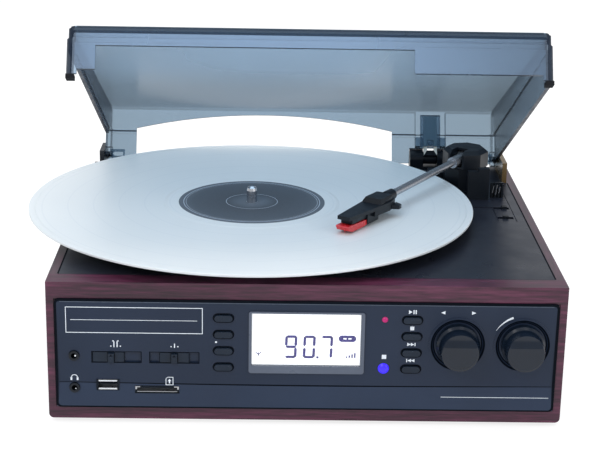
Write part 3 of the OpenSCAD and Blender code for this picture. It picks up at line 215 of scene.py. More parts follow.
def math_node(tree, kind, a, b=None):
    n = tree.nodes.new("ShaderNodeMath")
    n.operation = kind
    for i, v in enumerate([a, b]):
        if v is None:
            continue
        if isinstance(v, (int, float)):
            n.inputs[i].default_value = v
        else:
            link(tree, v, n.inputs[i])
    return n.outputs[0]


def plus(tree, a, b):
    return math_node(tree, "ADD", a, b)


def minus(tree, a, b):
    return math_node(tree, "SUBTRACT", a, b)


def times(tree, a, b):
    return math_node(tree, "MULTIPLY", a, b)


def larger(tree, a, b):
    return math_node(tree, "MAXIMUM", a, b)


def above(tree, a, b):
    return math_node(tree, "GREATER_THAN", a, b)


def below(tree, a, b):
    return math_node(tree, "LESS_THAN", a, b)


def bump(tree, bsdf, height, strength, distance=GRAIN_DEPTH):
    b = tree.nodes.new("ShaderNodeBump")
    b.inputs["Strength"].default_value = strength
    b.inputs["Distance"].default_value = distance
    link(tree, height, b.inputs["Height"])
    link(tree, b.outputs[0], bsdf.inputs["Normal"])


def scaled(rgb, k):
    return tuple(min(1.0, max(0.0, c * k)) for c in rgb)


def mottled(tree, cloud, rgb, vary):
    """The colour, darker and lighter by a share with the noise."""
    return ramp(tree, cloud, [(NOISE_LOW, scaled(rgb, 1 - vary)), (NOISE_HIGH, scaled(rgb, 1 + vary))])


# materials


def surface(name, rgb, rough=0.45, metallic=0.0, vary=0.12, scale=45.0, grain=0.0, grain_scale=900.0,
            rough_vary=0.08, coat=0.0, alpha=1.0, specular=0.5):
    """Moulded or metal surface: mottled colour, uneven gloss and a fine grain."""
    m, tree, bsdf = new_material(name)
    coords = object_coords(tree)
    link(tree, mottled(tree, noise(tree, coords, scale, 4.0), rgb, vary), bsdf.inputs["Base Color"])
    fine = noise(tree, coords, scale * 2.3, 2.0)
    gloss = spread(tree, fine, max(0.02, rough - rough_vary), min(1.0, rough + rough_vary))
    link(tree, gloss, bsdf.inputs["Roughness"])
    bsdf.inputs["Metallic"].default_value = metallic
    bsdf.inputs["Specular IOR Level"].default_value = specular
    bsdf.inputs["Coat Weight"].default_value = coat
    bsdf.inputs["Alpha"].default_value = alpha
    if grain:
        bump(tree, bsdf, noise(tree, coords, grain_scale, 2.0), grain)
    return m


def wood(name, along, red=1.0):
    """Dark mahogany under satin lacquer, with its grain along the given axis; red 0 is a grey brown."""
    m, tree, bsdf = new_material(name)
    stretch = [9.0, 9.0, 9.0]
    stretch["xyz".index(along)] = 0.7
    coords = object_coords(tree, stretch)
    wide = noise(tree, coords, 9.0, 5.0, 0.6, 0.6)
    fine = noise(tree, coords, 64.0, 3.0, 0.6)
    both = plus(tree, times(tree, wide, 0.45), times(tree, fine, 0.55))
    tones = [(0.34, (0.020, 0.004, 0.012)), (0.45, (0.044, 0.009, 0.025)),
             (0.54, (0.078, 0.015, 0.041)), (0.66, (0.125, 0.029, 0.067))]
    stops = [(pos, tuple(c * red + 0.5 * rgb[0] * (1 - red) for c in rgb)) for pos, rgb in tones]
    link(tree, ramp(tree, both, stops), bsdf.inputs["Base Color"])
    link(tree, spread(tree, fine, 0.30, 0.42), bsdf.inputs["Roughness"])
    bsdf.inputs["Specular IOR Level"].default_value = 0.35
    bsdf.inputs["Coat Weight"].default_value = 0.2
    bsdf.inputs["Coat Roughness"].default_value = 0.22
    bump(tree, bsdf, fine, 0.25)
    return m


def fascia_material(upper, band):
    """Satin moulding whose leaning band, below the fold, is painted a little lighter and bluer: a painted
    sheen where the band leans out to the light.
    """
    m, tree, bsdf = new_material("fascia_plastic")
    coords = object_coords(tree)
    fold, blend = FOLD_Z * MM, 0.0005
    cloud = noise(tree, coords, 14.0, 4.0)
    over_fold = remap(tree, separate(tree, coords)[2], fold - blend, fold + blend)
    # painted light: below the fold the band takes a lighter, bluer colour, as if lit where it leans out
    colour = mixed(tree, over_fold, mottled(tree, cloud, band, 0.1), mottled(tree, cloud, upper, 0.1))
    link(tree, colour, bsdf.inputs["Base Color"])
    link(tree, spread(tree, noise(tree, coords, 32.0, 2.0), 0.31, 0.45), bsdf.inputs["Roughness"])
    bsdf.inputs["Specular IOR Level"].default_value = 0.28
    bump(tree, bsdf, noise(tree, coords, 900.0, 2.0), 0.10)
    return m


def radius_from_spindle(tree):
    """Distance from the spindle's axis, in metres."""
    x, y, _ = separate(tree, object_coords(tree, location=(-SPINDLE[0], -SPINDLE[1], 0)))
    return math_node(tree, "SQRT", plus(tree, times(tree, x, x), times(tree, y, y)))


def record_material():
    """Pale pressed vinyl: fine grooves, and a darker line where one track ends and the next begins."""
    groove_pitch, track_pitch, track_line = 0.0009, 0.0172, 0.985
    m, tree, bsdf = new_material("record_vinyl")
    r = radius_from_spindle(tree)
    groove = math_node(tree, "SINE", times(tree, r, 2 * math.pi / groove_pitch))
    track = math_node(tree, "SINE", times(tree, r, 2 * math.pi / track_pitch))
    cloud = noise(tree, object_coords(tree), 7.0, 3.0)
    base = ramp(tree, cloud, [(NOISE_LOW, (0.69, 0.735, 0.76)), (NOISE_HIGH, (0.735, 0.775, 0.795))])
    colour = mixed(tree, times(tree, above(tree, track, track_line), 0.22), base, (0.56, 0.62, 0.68))
    link(tree, colour, bsdf.inputs["Base Color"])
    bsdf.inputs["Roughness"].default_value = 0.36
    bsdf.inputs["Specular IOR Level"].default_value = 0.4
    bump(tree, bsdf, groove, 0.12, 0.00005)
    return m


def label_material():
    """Generic dark paper label: tone bands from the middle to its edge, and paper fibre."""
    label_r = 0.05
    m, tree, bsdf = new_material("label_paper")
    fibre = noise(tree, object_coords(tree), 900.0, 3.0)
    stops = [(0.0, (0.13, 0.155, 0.19)), (0.20, (0.085, 0.105, 0.13)), (0.34, (0.045, 0.055, 0.07)),
             (0.80, (0.060, 0.075, 0.095)), (0.96, (0.10, 0.12, 0.145))]
    bands = ramp(tree, math_node(tree, "DIVIDE", radius_from_spindle(tree), label_r), stops)
    link(tree, mixed(tree, times(tree, fibre, 0.25), bands, (0.20, 0.23, 0.27)), bsdf.inputs["Base Color"])
    bsdf.inputs["Specular IOR Level"].default_value = 0.25
    bsdf.inputs["Roughness"].default_value = 0.62
    return m


def moulding_flow(tree):
    """Faint flow of the moulded acrylic."""
    return noise(tree, object_coords(tree, (1, 1, 2.5)), 9.0, 3.0)


def acrylic(name, rgb, alpha, rough):
    """Clear acrylic with faint moulding flow in its tint."""
    m, tree, bsdf = new_material(name)
    link(tree, mottled(tree, moulding_flow(tree), rgb, 0.08), bsdf.inputs["Base Color"])
    bsdf.inputs["Roughness"].default_value = rough
    bsdf.inputs["Alpha"].default_value = alpha
    bsdf.inputs["Specular IOR Level"].default_value = 0.6
    return m


def smoky(name, clear, front, deep):
    """Smoky blue acrylic of the cover: a film that tints what is behind, under a body of its own colour.

    The body is thickest where a wall is seen along its face. Its colour is clear on most of the cover,
    front on the front wall, and deep along the edges and where the wall is seen along its face.
    The lighter front wall, and the fade of the tint to both sides and to the rear, are painted light
    and painted reflection.
    """
    m, tree, bsdf = new_material(name)
    weight = tree.nodes.new("ShaderNodeLayerWeight")
    weight.inputs["Blend"].default_value = 0.5
    grazing = weight.outputs["Facing"]
    cloud = moulding_flow(tree)
    # places on the closed cover
    shift = HINGE - CLOSING @ HINGE
    closed = object_coords(tree, location=(-CENTRE_X, shift.y, shift.z), rotation=(math.radians(OPEN), 0, 0))
    x, y, z = separate(tree, closed)
    side = math_node(tree, "ABSOLUTE", x)
    # the tint fades to both sides and to the rear: painted light and painted reflection, lightest in the
    # middle and at the front, and lighter on the left than on the right
    half_w, front_y, rear_y, wander = 0.16, 13, 268, 0.06
    across = plus(tree, remap(tree, x, -half_w, half_w), times(tree, cloud, wander))
    along = remap(tree, y, depth(front_y), depth(rear_y))
    painted_light_along = ramp_value(tree, along, [(0.0, 1.6), (0.42, 1.5), (0.66, 0.70), (0.9, 0.60), (1.0, 0.74)])
    clear_shares = [(0.05, 0.34), (0.10, 0.66), (0.40, 1.0), (0.62, 1.0), (0.90, 0.50), (0.97, 0.36)]
    front_shares = [(0.02, 0.62), (0.14, 0.92), (0.45, 1.0), (0.62, 1.0), (0.86, 0.66), (1.0, 0.5)]
    painted_light_across = ramp(tree, across, [(pos, scaled(clear, share)) for pos, share in clear_shares])
    lit_front_tint = ramp(tree, across, [(pos, scaled(front, share)) for pos, share in front_shares])
    # painted light: the front wall is lighter than the rest of the cover
    behind_front = remap(tree, y, depth(15.5), depth(18.0))
    tint = mixed(tree, behind_front, lit_front_tint, tinted(tree, painted_light_along, painted_light_across))
    # dark lines: the front and side edges of the top, and the step across the rear wall
    line_drop, line_y, line_x = 0.0015, 15.4, 0.1456
    roof = plus(tree, times(tree, minus(tree, y, depth(COVER_FRONT)), ROOF_RISE), DECK + ROOF_FRONT_UP * MM)
    top = above(tree, z, minus(tree, roof, line_drop))
    rim = larger(tree, below(tree, y, depth(line_y)), above(tree, side, line_x))
    step_low, step_high, wall_y = 0.0248, 0.0256, 263
    step = times(tree, above(tree, z, DECK + step_low), below(tree, z, DECK + step_high))
    rear_step = times(tree, step, above(tree, y, depth(wall_y)))
    line = larger(tree, times(tree, top, rim), rear_step)
    colour = mixed(tree, larger(tree, remap(tree, grazing, 0.81, 0.89), line), tint, deep)
    link(tree, colour, bsdf.inputs["Base Color"])
    link(tree, spread(tree, cloud, 0.20, 0.26), bsdf.inputs["Roughness"])
    bsdf.inputs["Specular IOR Level"].default_value = 0.06
    # lamps pass more freely than the eye
    line_body, lamp_relief = 0.86, 0.72
    body = ramp_value(tree, grazing, [(0.25, 0.38), (0.70, 0.52), (0.79, 0.56), (0.88, 0.86), (1.0, 0.97)])
    body = larger(tree, body, times(tree, line, line_body))
    path = tree.nodes.new("ShaderNodeLightPath")
    kept = minus(tree, 1.0, times(tree, path.outputs["Is Shadow Ray"], lamp_relief))
    film = tree.nodes.new("ShaderNodeBsdfTransparent")
    film.inputs["Color"].default_value = (0.74, 0.845, 0.925, 1)
    both = mixed_shaders(tree, times(tree, body, kept), film.outputs[0], bsdf.outputs[0])
    out = next(n for n in tree.nodes if n.type == "OUTPUT_MATERIAL")
    link(tree, both, out.inputs[0])
    return m


def glowing(name, rgb, strength):
    """Lit diffuser, hardly uneven."""
    m, tree, bsdf = new_material(name)
    cloud = noise(tree, object_coords(tree), 30.0, 2.0)
    colour = ramp(tree, cloud, [(NOISE_LOW, scaled(rgb, 0.97)), (NOISE_HIGH, rgb)])
    link(tree, colour, bsdf.inputs["Base Color"])
    link(tree, colour, bsdf.inputs["Emission Color"])
    bsdf.inputs["Emission Strength"].default_value = strength
    bsdf.inputs["Roughness"].default_value = 0.3
    return m


MATERIALS = {
    "wood_x": wood("mahogany_front", "x"),
    "wood_y": wood("mahogany_side", "y", 0.55),
    "hardboard": surface("hardboard", (0.05, 0.035, 0.028), 0.8, vary=0.3, scale=120, grain=0.5),
    "rubber": surface("rubber", (0.012, 0.013, 0.016), 0.85, vary=0.15, grain=0.3, specular=0.15),
    "steel": surface("zinc_steel", (0.42, 0.43, 0.45), 0.3, 1.0, 0.1, 70, grain=0.1),
    "bright": surface("bright_steel", (0.62, 0.63, 0.66), 0.16, 1.0, 0.06, 120),
    "tube": surface("arm_tube_metal", (0.36, 0.37, 0.40), 0.26, 0.8, 0.03, 30, rough_vary=0.03),
    "brass": surface("turned_brass", (0.62, 0.44, 0.16), 0.28, 1.0, 0.08, 200),
    "deck": surface("deck_plastic", (0.014, 0.017, 0.027), 0.33, vary=0.07, scale=20, grain=0.06,
                    specular=0.34),
    # the second colour, for the band below the fold, is painted light
    "fascia": fascia_material((0.011, 0.021, 0.046), (0.018, 0.032, 0.066)),
    "black": surface("black_plastic", (0.007, 0.010, 0.015), 0.36, vary=0.15, grain=0.12, specular=0.25),
    "knob": surface("knob_plastic", (0.005, 0.010, 0.020), 0.20, vary=0.12, grain=0.02, rough_vary=0.04,
                    specular=0.38),
    "key": surface("key_plastic", (0.009, 0.017, 0.032), 0.30, vary=0.12, grain=0.05, specular=0.24),
    "frame": surface("display_frame_plastic", (0.085, 0.105, 0.15), 0.34, vary=0.08, grain=0.05),
    "red": surface("red_plastic", (0.60, 0.012, 0.018), 0.25, vary=0.12, scale=90, coat=0.3),
    "board": surface("circuit_board", (0.02, 0.10, 0.045), 0.45, vary=0.3, scale=150),
    "platter": surface("platter_plastic", (0.03, 0.03, 0.033), 0.45, vary=0.15, grain=0.2),
    "mat": surface("mat_felt", (0.03, 0.03, 0.032), 0.95, vary=0.4, scale=300, grain=0.8, grain_scale=2500),
    "blade": surface("blade_plastic", (0.86, 0.84, 0.76), 0.4, vary=0.06, grain=0.05),
    "amber": surface("amber_plastic", (0.15, 0.092, 0.032), 0.25, vary=0.14, scale=60, alpha=0.97),
    # painted shade: the left hinge ear, darker than its amber pair on the right
    "ear_shade": surface("shaded_ear_plastic", (0.020, 0.024, 0.030), 0.3, vary=0.14, scale=60, specular=0.2),
    "cone": surface("speaker_paper", (0.02, 0.02, 0.022), 0.9, vary=0.3, scale=300, grain=0.6),
    "print": surface("white_print", (0.80, 0.86, 0.93), 0.5, vary=0.05, scale=500),
    "print_dim": surface("dim_print", (0.42, 0.48, 0.56), 0.5, vary=0.08, scale=500),
    # painted shade for gaps, recesses, wells and the fold
    "groove": surface("painted_shade_black", (0.003, 0.005, 0.009), 0.7, vary=0.2, specular=0.06),
    # painted highlight for the fascia's top edge
    "rim": surface("fascia_edge_painted_highlight", (0.050, 0.070, 0.105), 0.3, vary=0.12, scale=30),
    "segment": surface("display_ink", (0.022, 0.008, 0.20), 0.5, vary=0.25, scale=700, specular=0.15),
    "record": record_material(),
    "label": label_material(),
    # the second colour, for the front wall, is lighter as painted light
    "cover": smoky("smoky_acrylic", (0.165, 0.235, 0.32), (0.37, 0.47, 0.62), (0.018, 0.030, 0.052)),
    "cover_edge": surface("smoky_edge", (0.010, 0.018, 0.036), 0.3, vary=0.15, alpha=0.92, specular=0.08),
    "window": acrylic("window_acrylic", (0.9, 0.95, 1.0), 0.05, 0.03),
    "lcd": glowing("display_light", (0.93, 0.95, 0.97), 0.55),
    "power": glowing("power_lamp", (0.36, 0.004, 0.11), 0.45),
    "blue": glowing("blue_lamp", (0.030, 0.012, 0.72), 0.85),
    # painted shade round the card slot and the stick socket
    "mouth": surface("socket_mouth", (0.008, 0.012, 0.018), 0.5, vary=0.15, specular=0.1),
    "glint": surface("contact_glint", (0.75, 0.78, 0.82), 0.3, vary=0.08, scale=200),
}

NODE_MATERIALS = {
    "wood_x": ["front_board"],
    "wood_y": ["side_panel_left", "side_panel_right"],
    "hardboard": ["rear_board", "bottom_board"],
    "rubber": ["feet", "drive_belt", "cover_bumpers", "cord_gland"],
    "steel": ["bottom_screws", "usb_socket", "card_socket", "motor", "cassette_tray", "transformer"],
    "bright": ["spindle", "rear_sockets"],
    "tube": ["arm_tube"],
    "brass": ["motor_pulley"],
    "deck": ["deck"],
    "fascia": ["fascia"],
    "black": ["arm_pedestal", "arm_rest", "arm_housing", "hinge_body", "speaker_grilles", "cassette_frame",
              "cassette_door", "eject_button", "speed_switch", "auto_stop_switch", "jack_sockets",
              "headshell", "cartridge"],
    "knob": ["tuning_knob", "volume_knob"],
    "key": ["mode_button", "program_button", "record_button", "delete_button", "play_button", "stop_button",
            "next_button", "previous_button", "function_switch", "band_switch"],
    "frame": ["lcd_frame"],
    "window": ["lcd_window"],
    "lcd": ["lcd_module"],
    "board": ["control_board", "main_board"],
    "platter": ["platter"],
    "mat": ["slip_mat"],
    "record": ["record"],
    "red": ["stylus"],
    "blade": ["hinge_blade"],
    "amber": ["hinge_ears"],
    "cover": ["dust_cover"],
    "cone": ["speakers"],
    "power": ["indicators"],
}

# nodes whose sharp edges are rounded a little, so that they catch the light, with the widths
SOFT_EDGES = {"front_board": 0.8, "side_panel_left": 0.5, "side_panel_right": 0.5, "deck": 0.25,
              "headshell": 0.35, "stylus": 1.1}


def paint_nodes():
    """Gives each CAD node its material."""
    for key, names in NODE_MATERIALS.items():
        for name in names:
            data = nodes[name].data
            data.materials.clear()
            data.materials.append(MATERIALS[key])
            for p in data.polygons:
                p.material_index = 0


def second_material(name, key, chosen):
    """Gives another material to the faces of a node that are chosen."""
    data = nodes[name].data
    data.materials.append(MATERIALS[key])
    for p in data.polygons:
        p.material_index = 1 if chosen(p) else 0


def board_end(p):
    """The front board's ends match the side panels."""
    end_x = 0.156
    return abs(p.normal.x) > 0.9 and abs(p.center.x - CENTRE_X) > end_x


def display_back(p):
    """Only the display's front is lit."""
    return p.normal.y >= -0.5


def knuckle(p):
    """The blade's knuckle is black."""
    knuckle_top = 15.5
    return p.center.z < DECK + knuckle_top * MM


def lower_lamp(p):
    """The lower of the two lamps is blue."""
    between_lamps = 55
    return p.center.z < at(0, 0, between_lamps).z


def left_bracket(p):
    """The bracket at the left rear corner is painted dark: painted shade on the amber of its pair."""
    return p.center.x < CENTRE_X


def cover_border(p):
    """The cover's rims, ledges and edge bands, where the light runs out of the acrylic, are a deeper blue."""
    # the faces are sorted as on the closed cover
    n = CLOSING @ p.normal
    c = (CLOSING @ (p.center - HINGE) + HINGE) / MM
    y, z = c.y - FRONT_Y / MM, c.z
    shoulder = DECK_MM + ROOF_FRONT_UP - 1
    roof = DECK_MM + ROOF_FRONT_UP + ROOF_RISE * (y - COVER_FRONT)
    rim = n.z < -0.9 and z < roof
    ledge = n.z > 0.9 and z < shoulder
    top_edge = 0.2 < n.z < 0.96 and z > shoulder
    corner = y < 22 and abs(n.x) > 0.35 and abs(n.y) > 0.2
    return rim or ledge or top_edge or corner


def soften(name, width):
    """Rounds the sharp edges of a node."""
    b = nodes[name].modifiers.new("edge", "BEVEL")
    b.width = width * MM
    b.segments = 2
    b.limit_method = "ANGLE"
    b.angle_limit = math.radians(40)
    b.use_clamp_overlap = True


# mesh helpers


def piece(name, bm, key, body):
    """Turns the mesh into a piece of one material that rides a body."""
    mesh = bpy.data.meshes.new(name)
    bm.normal_update()
    bm.to_mesh(mesh)
    bm.free()
    mesh.materials.append(MATERIALS[key])
    o = bpy.data.objects.new(name, mesh)
    bpy.context.scene.collection.objects.link(o)
    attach(o, body)


def prism(bm, points, y_front, y_back):
    """Adds a thin plate with the outline (x, z), between two depths given as numbers or functions of z."""
    front = y_front if callable(y_front) else (lambda z: y_front)
    back = y_back if callable(y_back) else (lambda z: y_back)
    a = [bm.verts.new(at(x, front(z), z)) for x, z in points]
    b = [bm.verts.new(at(x, back(z), z)) for x, z in points]
    n = len(points)
    area = sum(points[i - 1][0] * points[i][1] - points[i][0] * points[i - 1][1] for i in range(n))
    faces = [a, b[::-1]] + [[a[i], b[i], b[(i + 1) % n], a[(i + 1) % n]] for i in range(n)]
    for f in faces:
        bm.faces.new(f if area > 0 else f[::-1])


def rectangle(x0, z0, x1, z1):
    return [(x0, z0), (x1, z0), (x1, z1), (x0, z1)]


def bar(bm, x0, z0, x1, z1, y_front, y_back):
    prism(bm, rectangle(x0, z0, x1, z1), y_front, y_back)


def loop_band(bm, outer, inner, y_front, y_back):
    """Flat ring between two outlines with equally many points."""
    n = len(outer)
    for i in range(n):
        j = (i + 1) % n
        prism(bm, [outer[i], outer[j], inner[j], inner[i]], y_front, y_back)


def arc_band(bm, x, z, r0, r1, start, end, n, taper=1.0):
    """Printed band along an arc on the fascia, whose width grows from the share taper to full along it."""
    mid, half = (r0 + r1) / 2, (r1 - r0) / 2
    for i in range(n):
        points = []
        for j, out in ((i, -1), (i + 1, -1), (i + 1, 1), (i, 1)):
            t = math.radians(start + (end - start) * j / n)
            r = mid + out * half * (taper + (1 - taper) * j / n)
            points.append((x + r * math.cos(t), z + r * math.sin(t)))
        prism(bm, points, ink, under)


def arc_points(x, z, r, start, turn, n):
    """Points along an arc, both ends included."""
    angles = [math.radians(start + turn * i / n) for i in range(n + 1)]
    return [(x + r * math.cos(a), z + r * math.sin(a)) for a in angles]


def disc_points(x, z, r, n):
    return arc_points(x, z, r, 0, 360.0, n)[:-1]


def rounded(x0, z0, x1, z1, r):
    """Points of a rounded rectangle, counter-clockwise."""
    corners = ((x1 - r, z0 + r, -90), (x1 - r, z1 - r, 0), (x0 + r, z1 - r, 90), (x0 + r, z0 + r, 180))
    return [p for x, z, start in corners for p in arc_points(x, z, r, start, 90, 6)]


def stadium(x, z, w, h, n=10):
    """Points of a pill outline, counter-clockwise."""
    r, half = h / 2, (w - h) / 2
    return arc_points(x + half, z, r, -90, 180, n) + arc_points(x - half, z, r, 90, 180, n)


def close_loops(bm, loops):
    """Adds the faces between loops of equally many vertices, and from the last loop to the first."""
    for a, b in zip(loops, loops[1:] + loops[:1]):
        for i in range(len(a)):
            j = (i + 1) % len(a)
            bm.faces.new([a[i], b[i], b[j], a[j]])
    bmesh.ops.recalc_face_normals(bm, faces=bm.faces)


def spindle_ring(bm, profile, n=96):
    """Adds a ring about the spindle, with a profile of radii in millimetres and heights in metres."""
    turns = [2 * math.pi * i / n for i in range(n)]
    close_loops(bm, [[bm.verts.new((SPINDLE[0] + r * MM * math.cos(t), SPINDLE[1] + r * MM * math.sin(t), z))
                      for t in turns] for r, z in profile])


def cone_band(bm, x, z, r0, y0, r1, y1, t=0.06, n=48):
    """Thin ring on a cone about the axis through (x, z), from radius r0 at depth y0 to r1 at y1."""
    turns = [2 * math.pi * i / n for i in range(n)]
    close_loops(bm, [[bm.verts.new(at(x + r * math.cos(a), y, z + r * math.sin(a))) for a in turns]
                     for r, y in ((r0, y0), (r1, y1), (r1, y1 - t), (r0, y0 - t))])


def cover_hull(bm, places):
    """Adds the hull of places given on the closed cover, turned with it."""
    bmesh.ops.convex_hull(bm, input=[bm.verts.new(OPENING @ (at(*p) - HINGE) + HINGE) for p in places])


# pieces on the front


def face(z):
    """Depth of the fascia's surface at a height."""
    return FACE_Y if z >= FOLD_Z else FACE_Y - BAND_LEAN * (FOLD_Z - z) / (FOLD_Z - BAND_FOOT_Z)


def ink(z):
    """Depth of the front of what is printed on the fascia."""
    return face(z) - 0.035


def under(z):
    """Depth of its back, just below the surface."""
    return face(z) + 0.05


def printed_bar(bm, x0, z0, x1, z1):
    bar(bm, x0, z0, x1, z1, ink, under)


def printed(bm, points):
    prism(bm, points, ink, under)


def switch_signs(bm):
    """Printed signs over the slide switches, beside the recording key and in the outlined panel."""
    stroke, dot = 0.42, 0.42
    # outlined panel with its dividing line
    x0, x1, z0, z1 = -146.3, -63.3, 59.8, 76.6
    printed_bar(bm, x0, z0, x1, z0 + stroke)
    printed_bar(bm, x0, z1 - stroke, x1, z1)
    printed_bar(bm, x0, z0 + stroke, x0 + stroke, z1 - stroke)
    printed_bar(bm, x1 - stroke, z0 + stroke, x1, z1 - stroke)
    printed_bar(bm, -143.3, 68.1, -66.6, 68.4)
    # positions of the function switch: dot, hooked bar, hooked bar, dot
    foot, top, half = 50.6, 54.4, 0.3
    for x in (-119.1, -113.3):
        printed(bm, disc_points(x, 51.3, dot, 12))
    for x, hook in ((-117.2, -1.0), (-115.3, 1.0)):
        printed_bar(bm, x - half, foot, x + half, top)
        printed_bar(bm, min(x, x + hook), top, max(x, x + hook), 55.0)
    # positions of the band switch: dot, bar, dot
    for x in (-82.5, -78.4):
        printed(bm, disc_points(x, 51.4, dot, 12))
    printed_bar(bm, -80.75, foot, -80.15, 53.4)
    # dot beside the third key, for recording
    printed(bm, disc_points(-55.2, 54.7, 0.62, 14))


def socket_signs(bm):
    """Printed signs over the sockets: headphones, and a memory card with an arrow."""
    phones_x, cup_x, half_cup = -141.7, 1.9, 0.55
    arc_band(bm, phones_x, 30.3, 1.7, 2.15, 0, 180, 16)
    for s in (-1, 1):
        x = phones_x + s * cup_x
        printed_bar(bm, x - half_cup, 28.7, x + half_cup, 30.6)
    x0, x1, z0, z1, stroke, cut = -86.0, -81.3, 26.0, 31.4, 0.4, 1.2
    printed_bar(bm, x0, z0, x1, z0 + stroke)
    printed_bar(bm, x0, z0 + stroke, x0 + stroke, z1 - cut)
    printed_bar(bm, x1 - stroke, z0 + stroke, x1, z1)
    printed_bar(bm, x0 + cut, z1 - stroke, x1 - stroke, z1)
    printed(bm, [(x0, z1 - cut), (x0 + stroke, z1 - cut), (x0 + cut, z1 - stroke), (x0 + cut, z1)])
    mid, shaft, head, head_z = (x0 + x1) / 2, 0.4, 1.1, 28.6
    printed(bm, [(mid - head, head_z), (mid + head, head_z), (mid, 30.2)])
    printed_bar(bm, mid - shaft, 27.1, mid + shaft, head_z)


def player_signs(bm):
    """Printed signs over the right keys and the blue lamp: play and pause, stop, next, previous, window."""
    low, high = 74.4, 77.0
    printed(bm, [(61.5, low), (63.6, (low + high) / 2), (61.5, high)])
    for x in (64.2, 65.5):
        printed_bar(bm, x, low, x + 0.7, high)
    printed_bar(bm, 62.7, 63.9, 65.1, 66.3)
    arrow, low, mid, high = 2.2, 53.5, 54.6, 55.7
    for x in (61.2, 63.4):
        printed(bm, [(x, low), (x + arrow, mid), (x, high)])
    printed_bar(bm, 65.7, low, 66.3, high)
    low, mid, high = 42.9, 44.0, 45.1
    for x in (63.9, 66.1):
        printed(bm, [(x, low), (x, high), (x - arrow, mid)])
    printed_bar(bm, 61.0, low, 61.6, high)
    printed_bar(bm, 46.0, 44.9, 48.7, 47.6)


def knob_signs(bm):
    """Printed arrows over the tuning knob, growing arc at the volume knob, and line on the lower band."""
    low, mid, high = 74.4, 75.5, 76.6
    printed(bm, [(81.0, mid), (83.6, low), (83.6, high)])
    printed(bm, [(102.4, mid), (99.8, high), (99.8, low)])
    arc_band(bm, VOLUME_X, KNOB_Z, 18.6, 19.9, 150, 110, 20, taper=0.15)
    printed_bar(bm, 83.1, 20.1, 149.6, 20.4)


def front_marks():
    bm = bmesh.new()
    for signs in (switch_signs, socket_signs, player_signs, knob_signs):
        signs(bm)
    piece("front_marks", bm, "print", "cabinet")


def fold_line():
    """Painted shade along the fascia's fold, slightly bowed and thickest in the middle."""
    bm = bmesh.new()
    half, bow_half, n = 151.0, 152, 40
    for i in range(n):
        x0, x1 = -half + 2 * half * i / n, -half + 2 * half * (i + 1) / n
        bow = [math.cos(math.pi * x / (2 * bow_half)) for x in (x0, x1)]
        low = [FOLD_Z + 0.5 - 1.3 * k for k in bow]
        high = [z + 0.35 + 0.55 * k for z, k in zip(low, bow)]
        outline = [(x0, low[0]), (x1, low[1]), (x1, high[1]), (x0, high[0])]
        prism(bm, outline, lambda z: face(z) - 0.02, under)
    piece("fold_line", bm, "groove", "cabinet")


def fascia_border():
    """Painted shadow in the recess between the wood and the fascia, and a painted highlight on the fascia's
    top edge.
    """
    bm = bmesh.new()
    # painted shadow: a dark band over the recess round the fascia
    wood_edge = rounded(-153.0, 11.4, 153.0, 81.7, 3.0)
    fascia_edge = rounded(-151.6, BAND_FOOT_Z, 151.6, 80.4, 2.2)
    loop_band(bm, wood_edge, fascia_edge, ink, 0.0)
    piece("fascia_border", bm, "groove", "cabinet")
    # painted highlight along the fascia's top edge
    bm = bmesh.new()
    printed_bar(bm, -149.6, 79.6, 149.6, 80.05)
    piece("fascia_sheen", bm, "rim", "cabinet")


def dish(r):
    """Depth of the front of a line in the dish round a knob, at a radius."""
    return DISH_Y + DISH_FALL * (DISH_R - r) / DISH_W - 0.02


def knob_rings():
    """Dark lines of painted shade in the dishes round the knobs."""
    bm = bmesh.new()
    for x in (TUNING_X, VOLUME_X):
        for r0, r1 in ((15.6, 16.5), (14.35, 15.0)):
            cone_band(bm, x, KNOB_Z, r0, dish(r0), r1, dish(r1))
    piece("knob_ring_lines", bm, "groove", "cabinet")


def key_wells():
    """Painted shade in the sunk rims round the eight keys."""
    bm = bmesh.new()
    for x in KEY_COLUMNS:
        for i in range(KEYS_IN_COLUMN):
            z = TOP_KEY_Z - KEY_PITCH * i
            loop_band(bm, stadium(x, z, 13.2, 6.1), stadium(x, z, 11.65, 4.65), ink, under)
    piece("key_wells", bm, "groove", "cabinet")


def slider_lines():
    """Dark lines of painted shade round the slide switches' windows, at their plates' ends, and on and beside
    their grips.
    """
    bm = bmesh.new()
    outer_half, inner_half = 15.3, 14.85
    for x in (FUNCTION_X, BAND_X):
        loop_band(bm, rectangle(x - outer_half, 40.3, x + outer_half, 47.9),
                  rectangle(x - inner_half, 40.85, x + inner_half, 47.55), ink, under)
    piece("slider_windows", bm, "groove", "cabinet")
    plate_front, plate_back, grip_front, grip_back = -0.97, -0.85, -3.05, -2.95
    for body, x0, x1, grip in (("function", -130.5, -110.9, -119.1), ("band", -89.8, -71.4, BAND_X)):
        bm = bmesh.new()
        for x in (x0 + 0.05, x1 - 0.4, grip - 2.35, grip + 1.9):
            bar(bm, x, 41.1, x + 0.35, 47.1, plate_front, plate_back)
        prism(bm, disc_points(grip, 46.0, 0.42, 12), grip_front, grip_back)
        bar(bm, grip - 1.0, 45.2, grip + 1.0, 45.6, grip_front, grip_back)
        piece(body + "_switch_lines", bm, "groove", body)


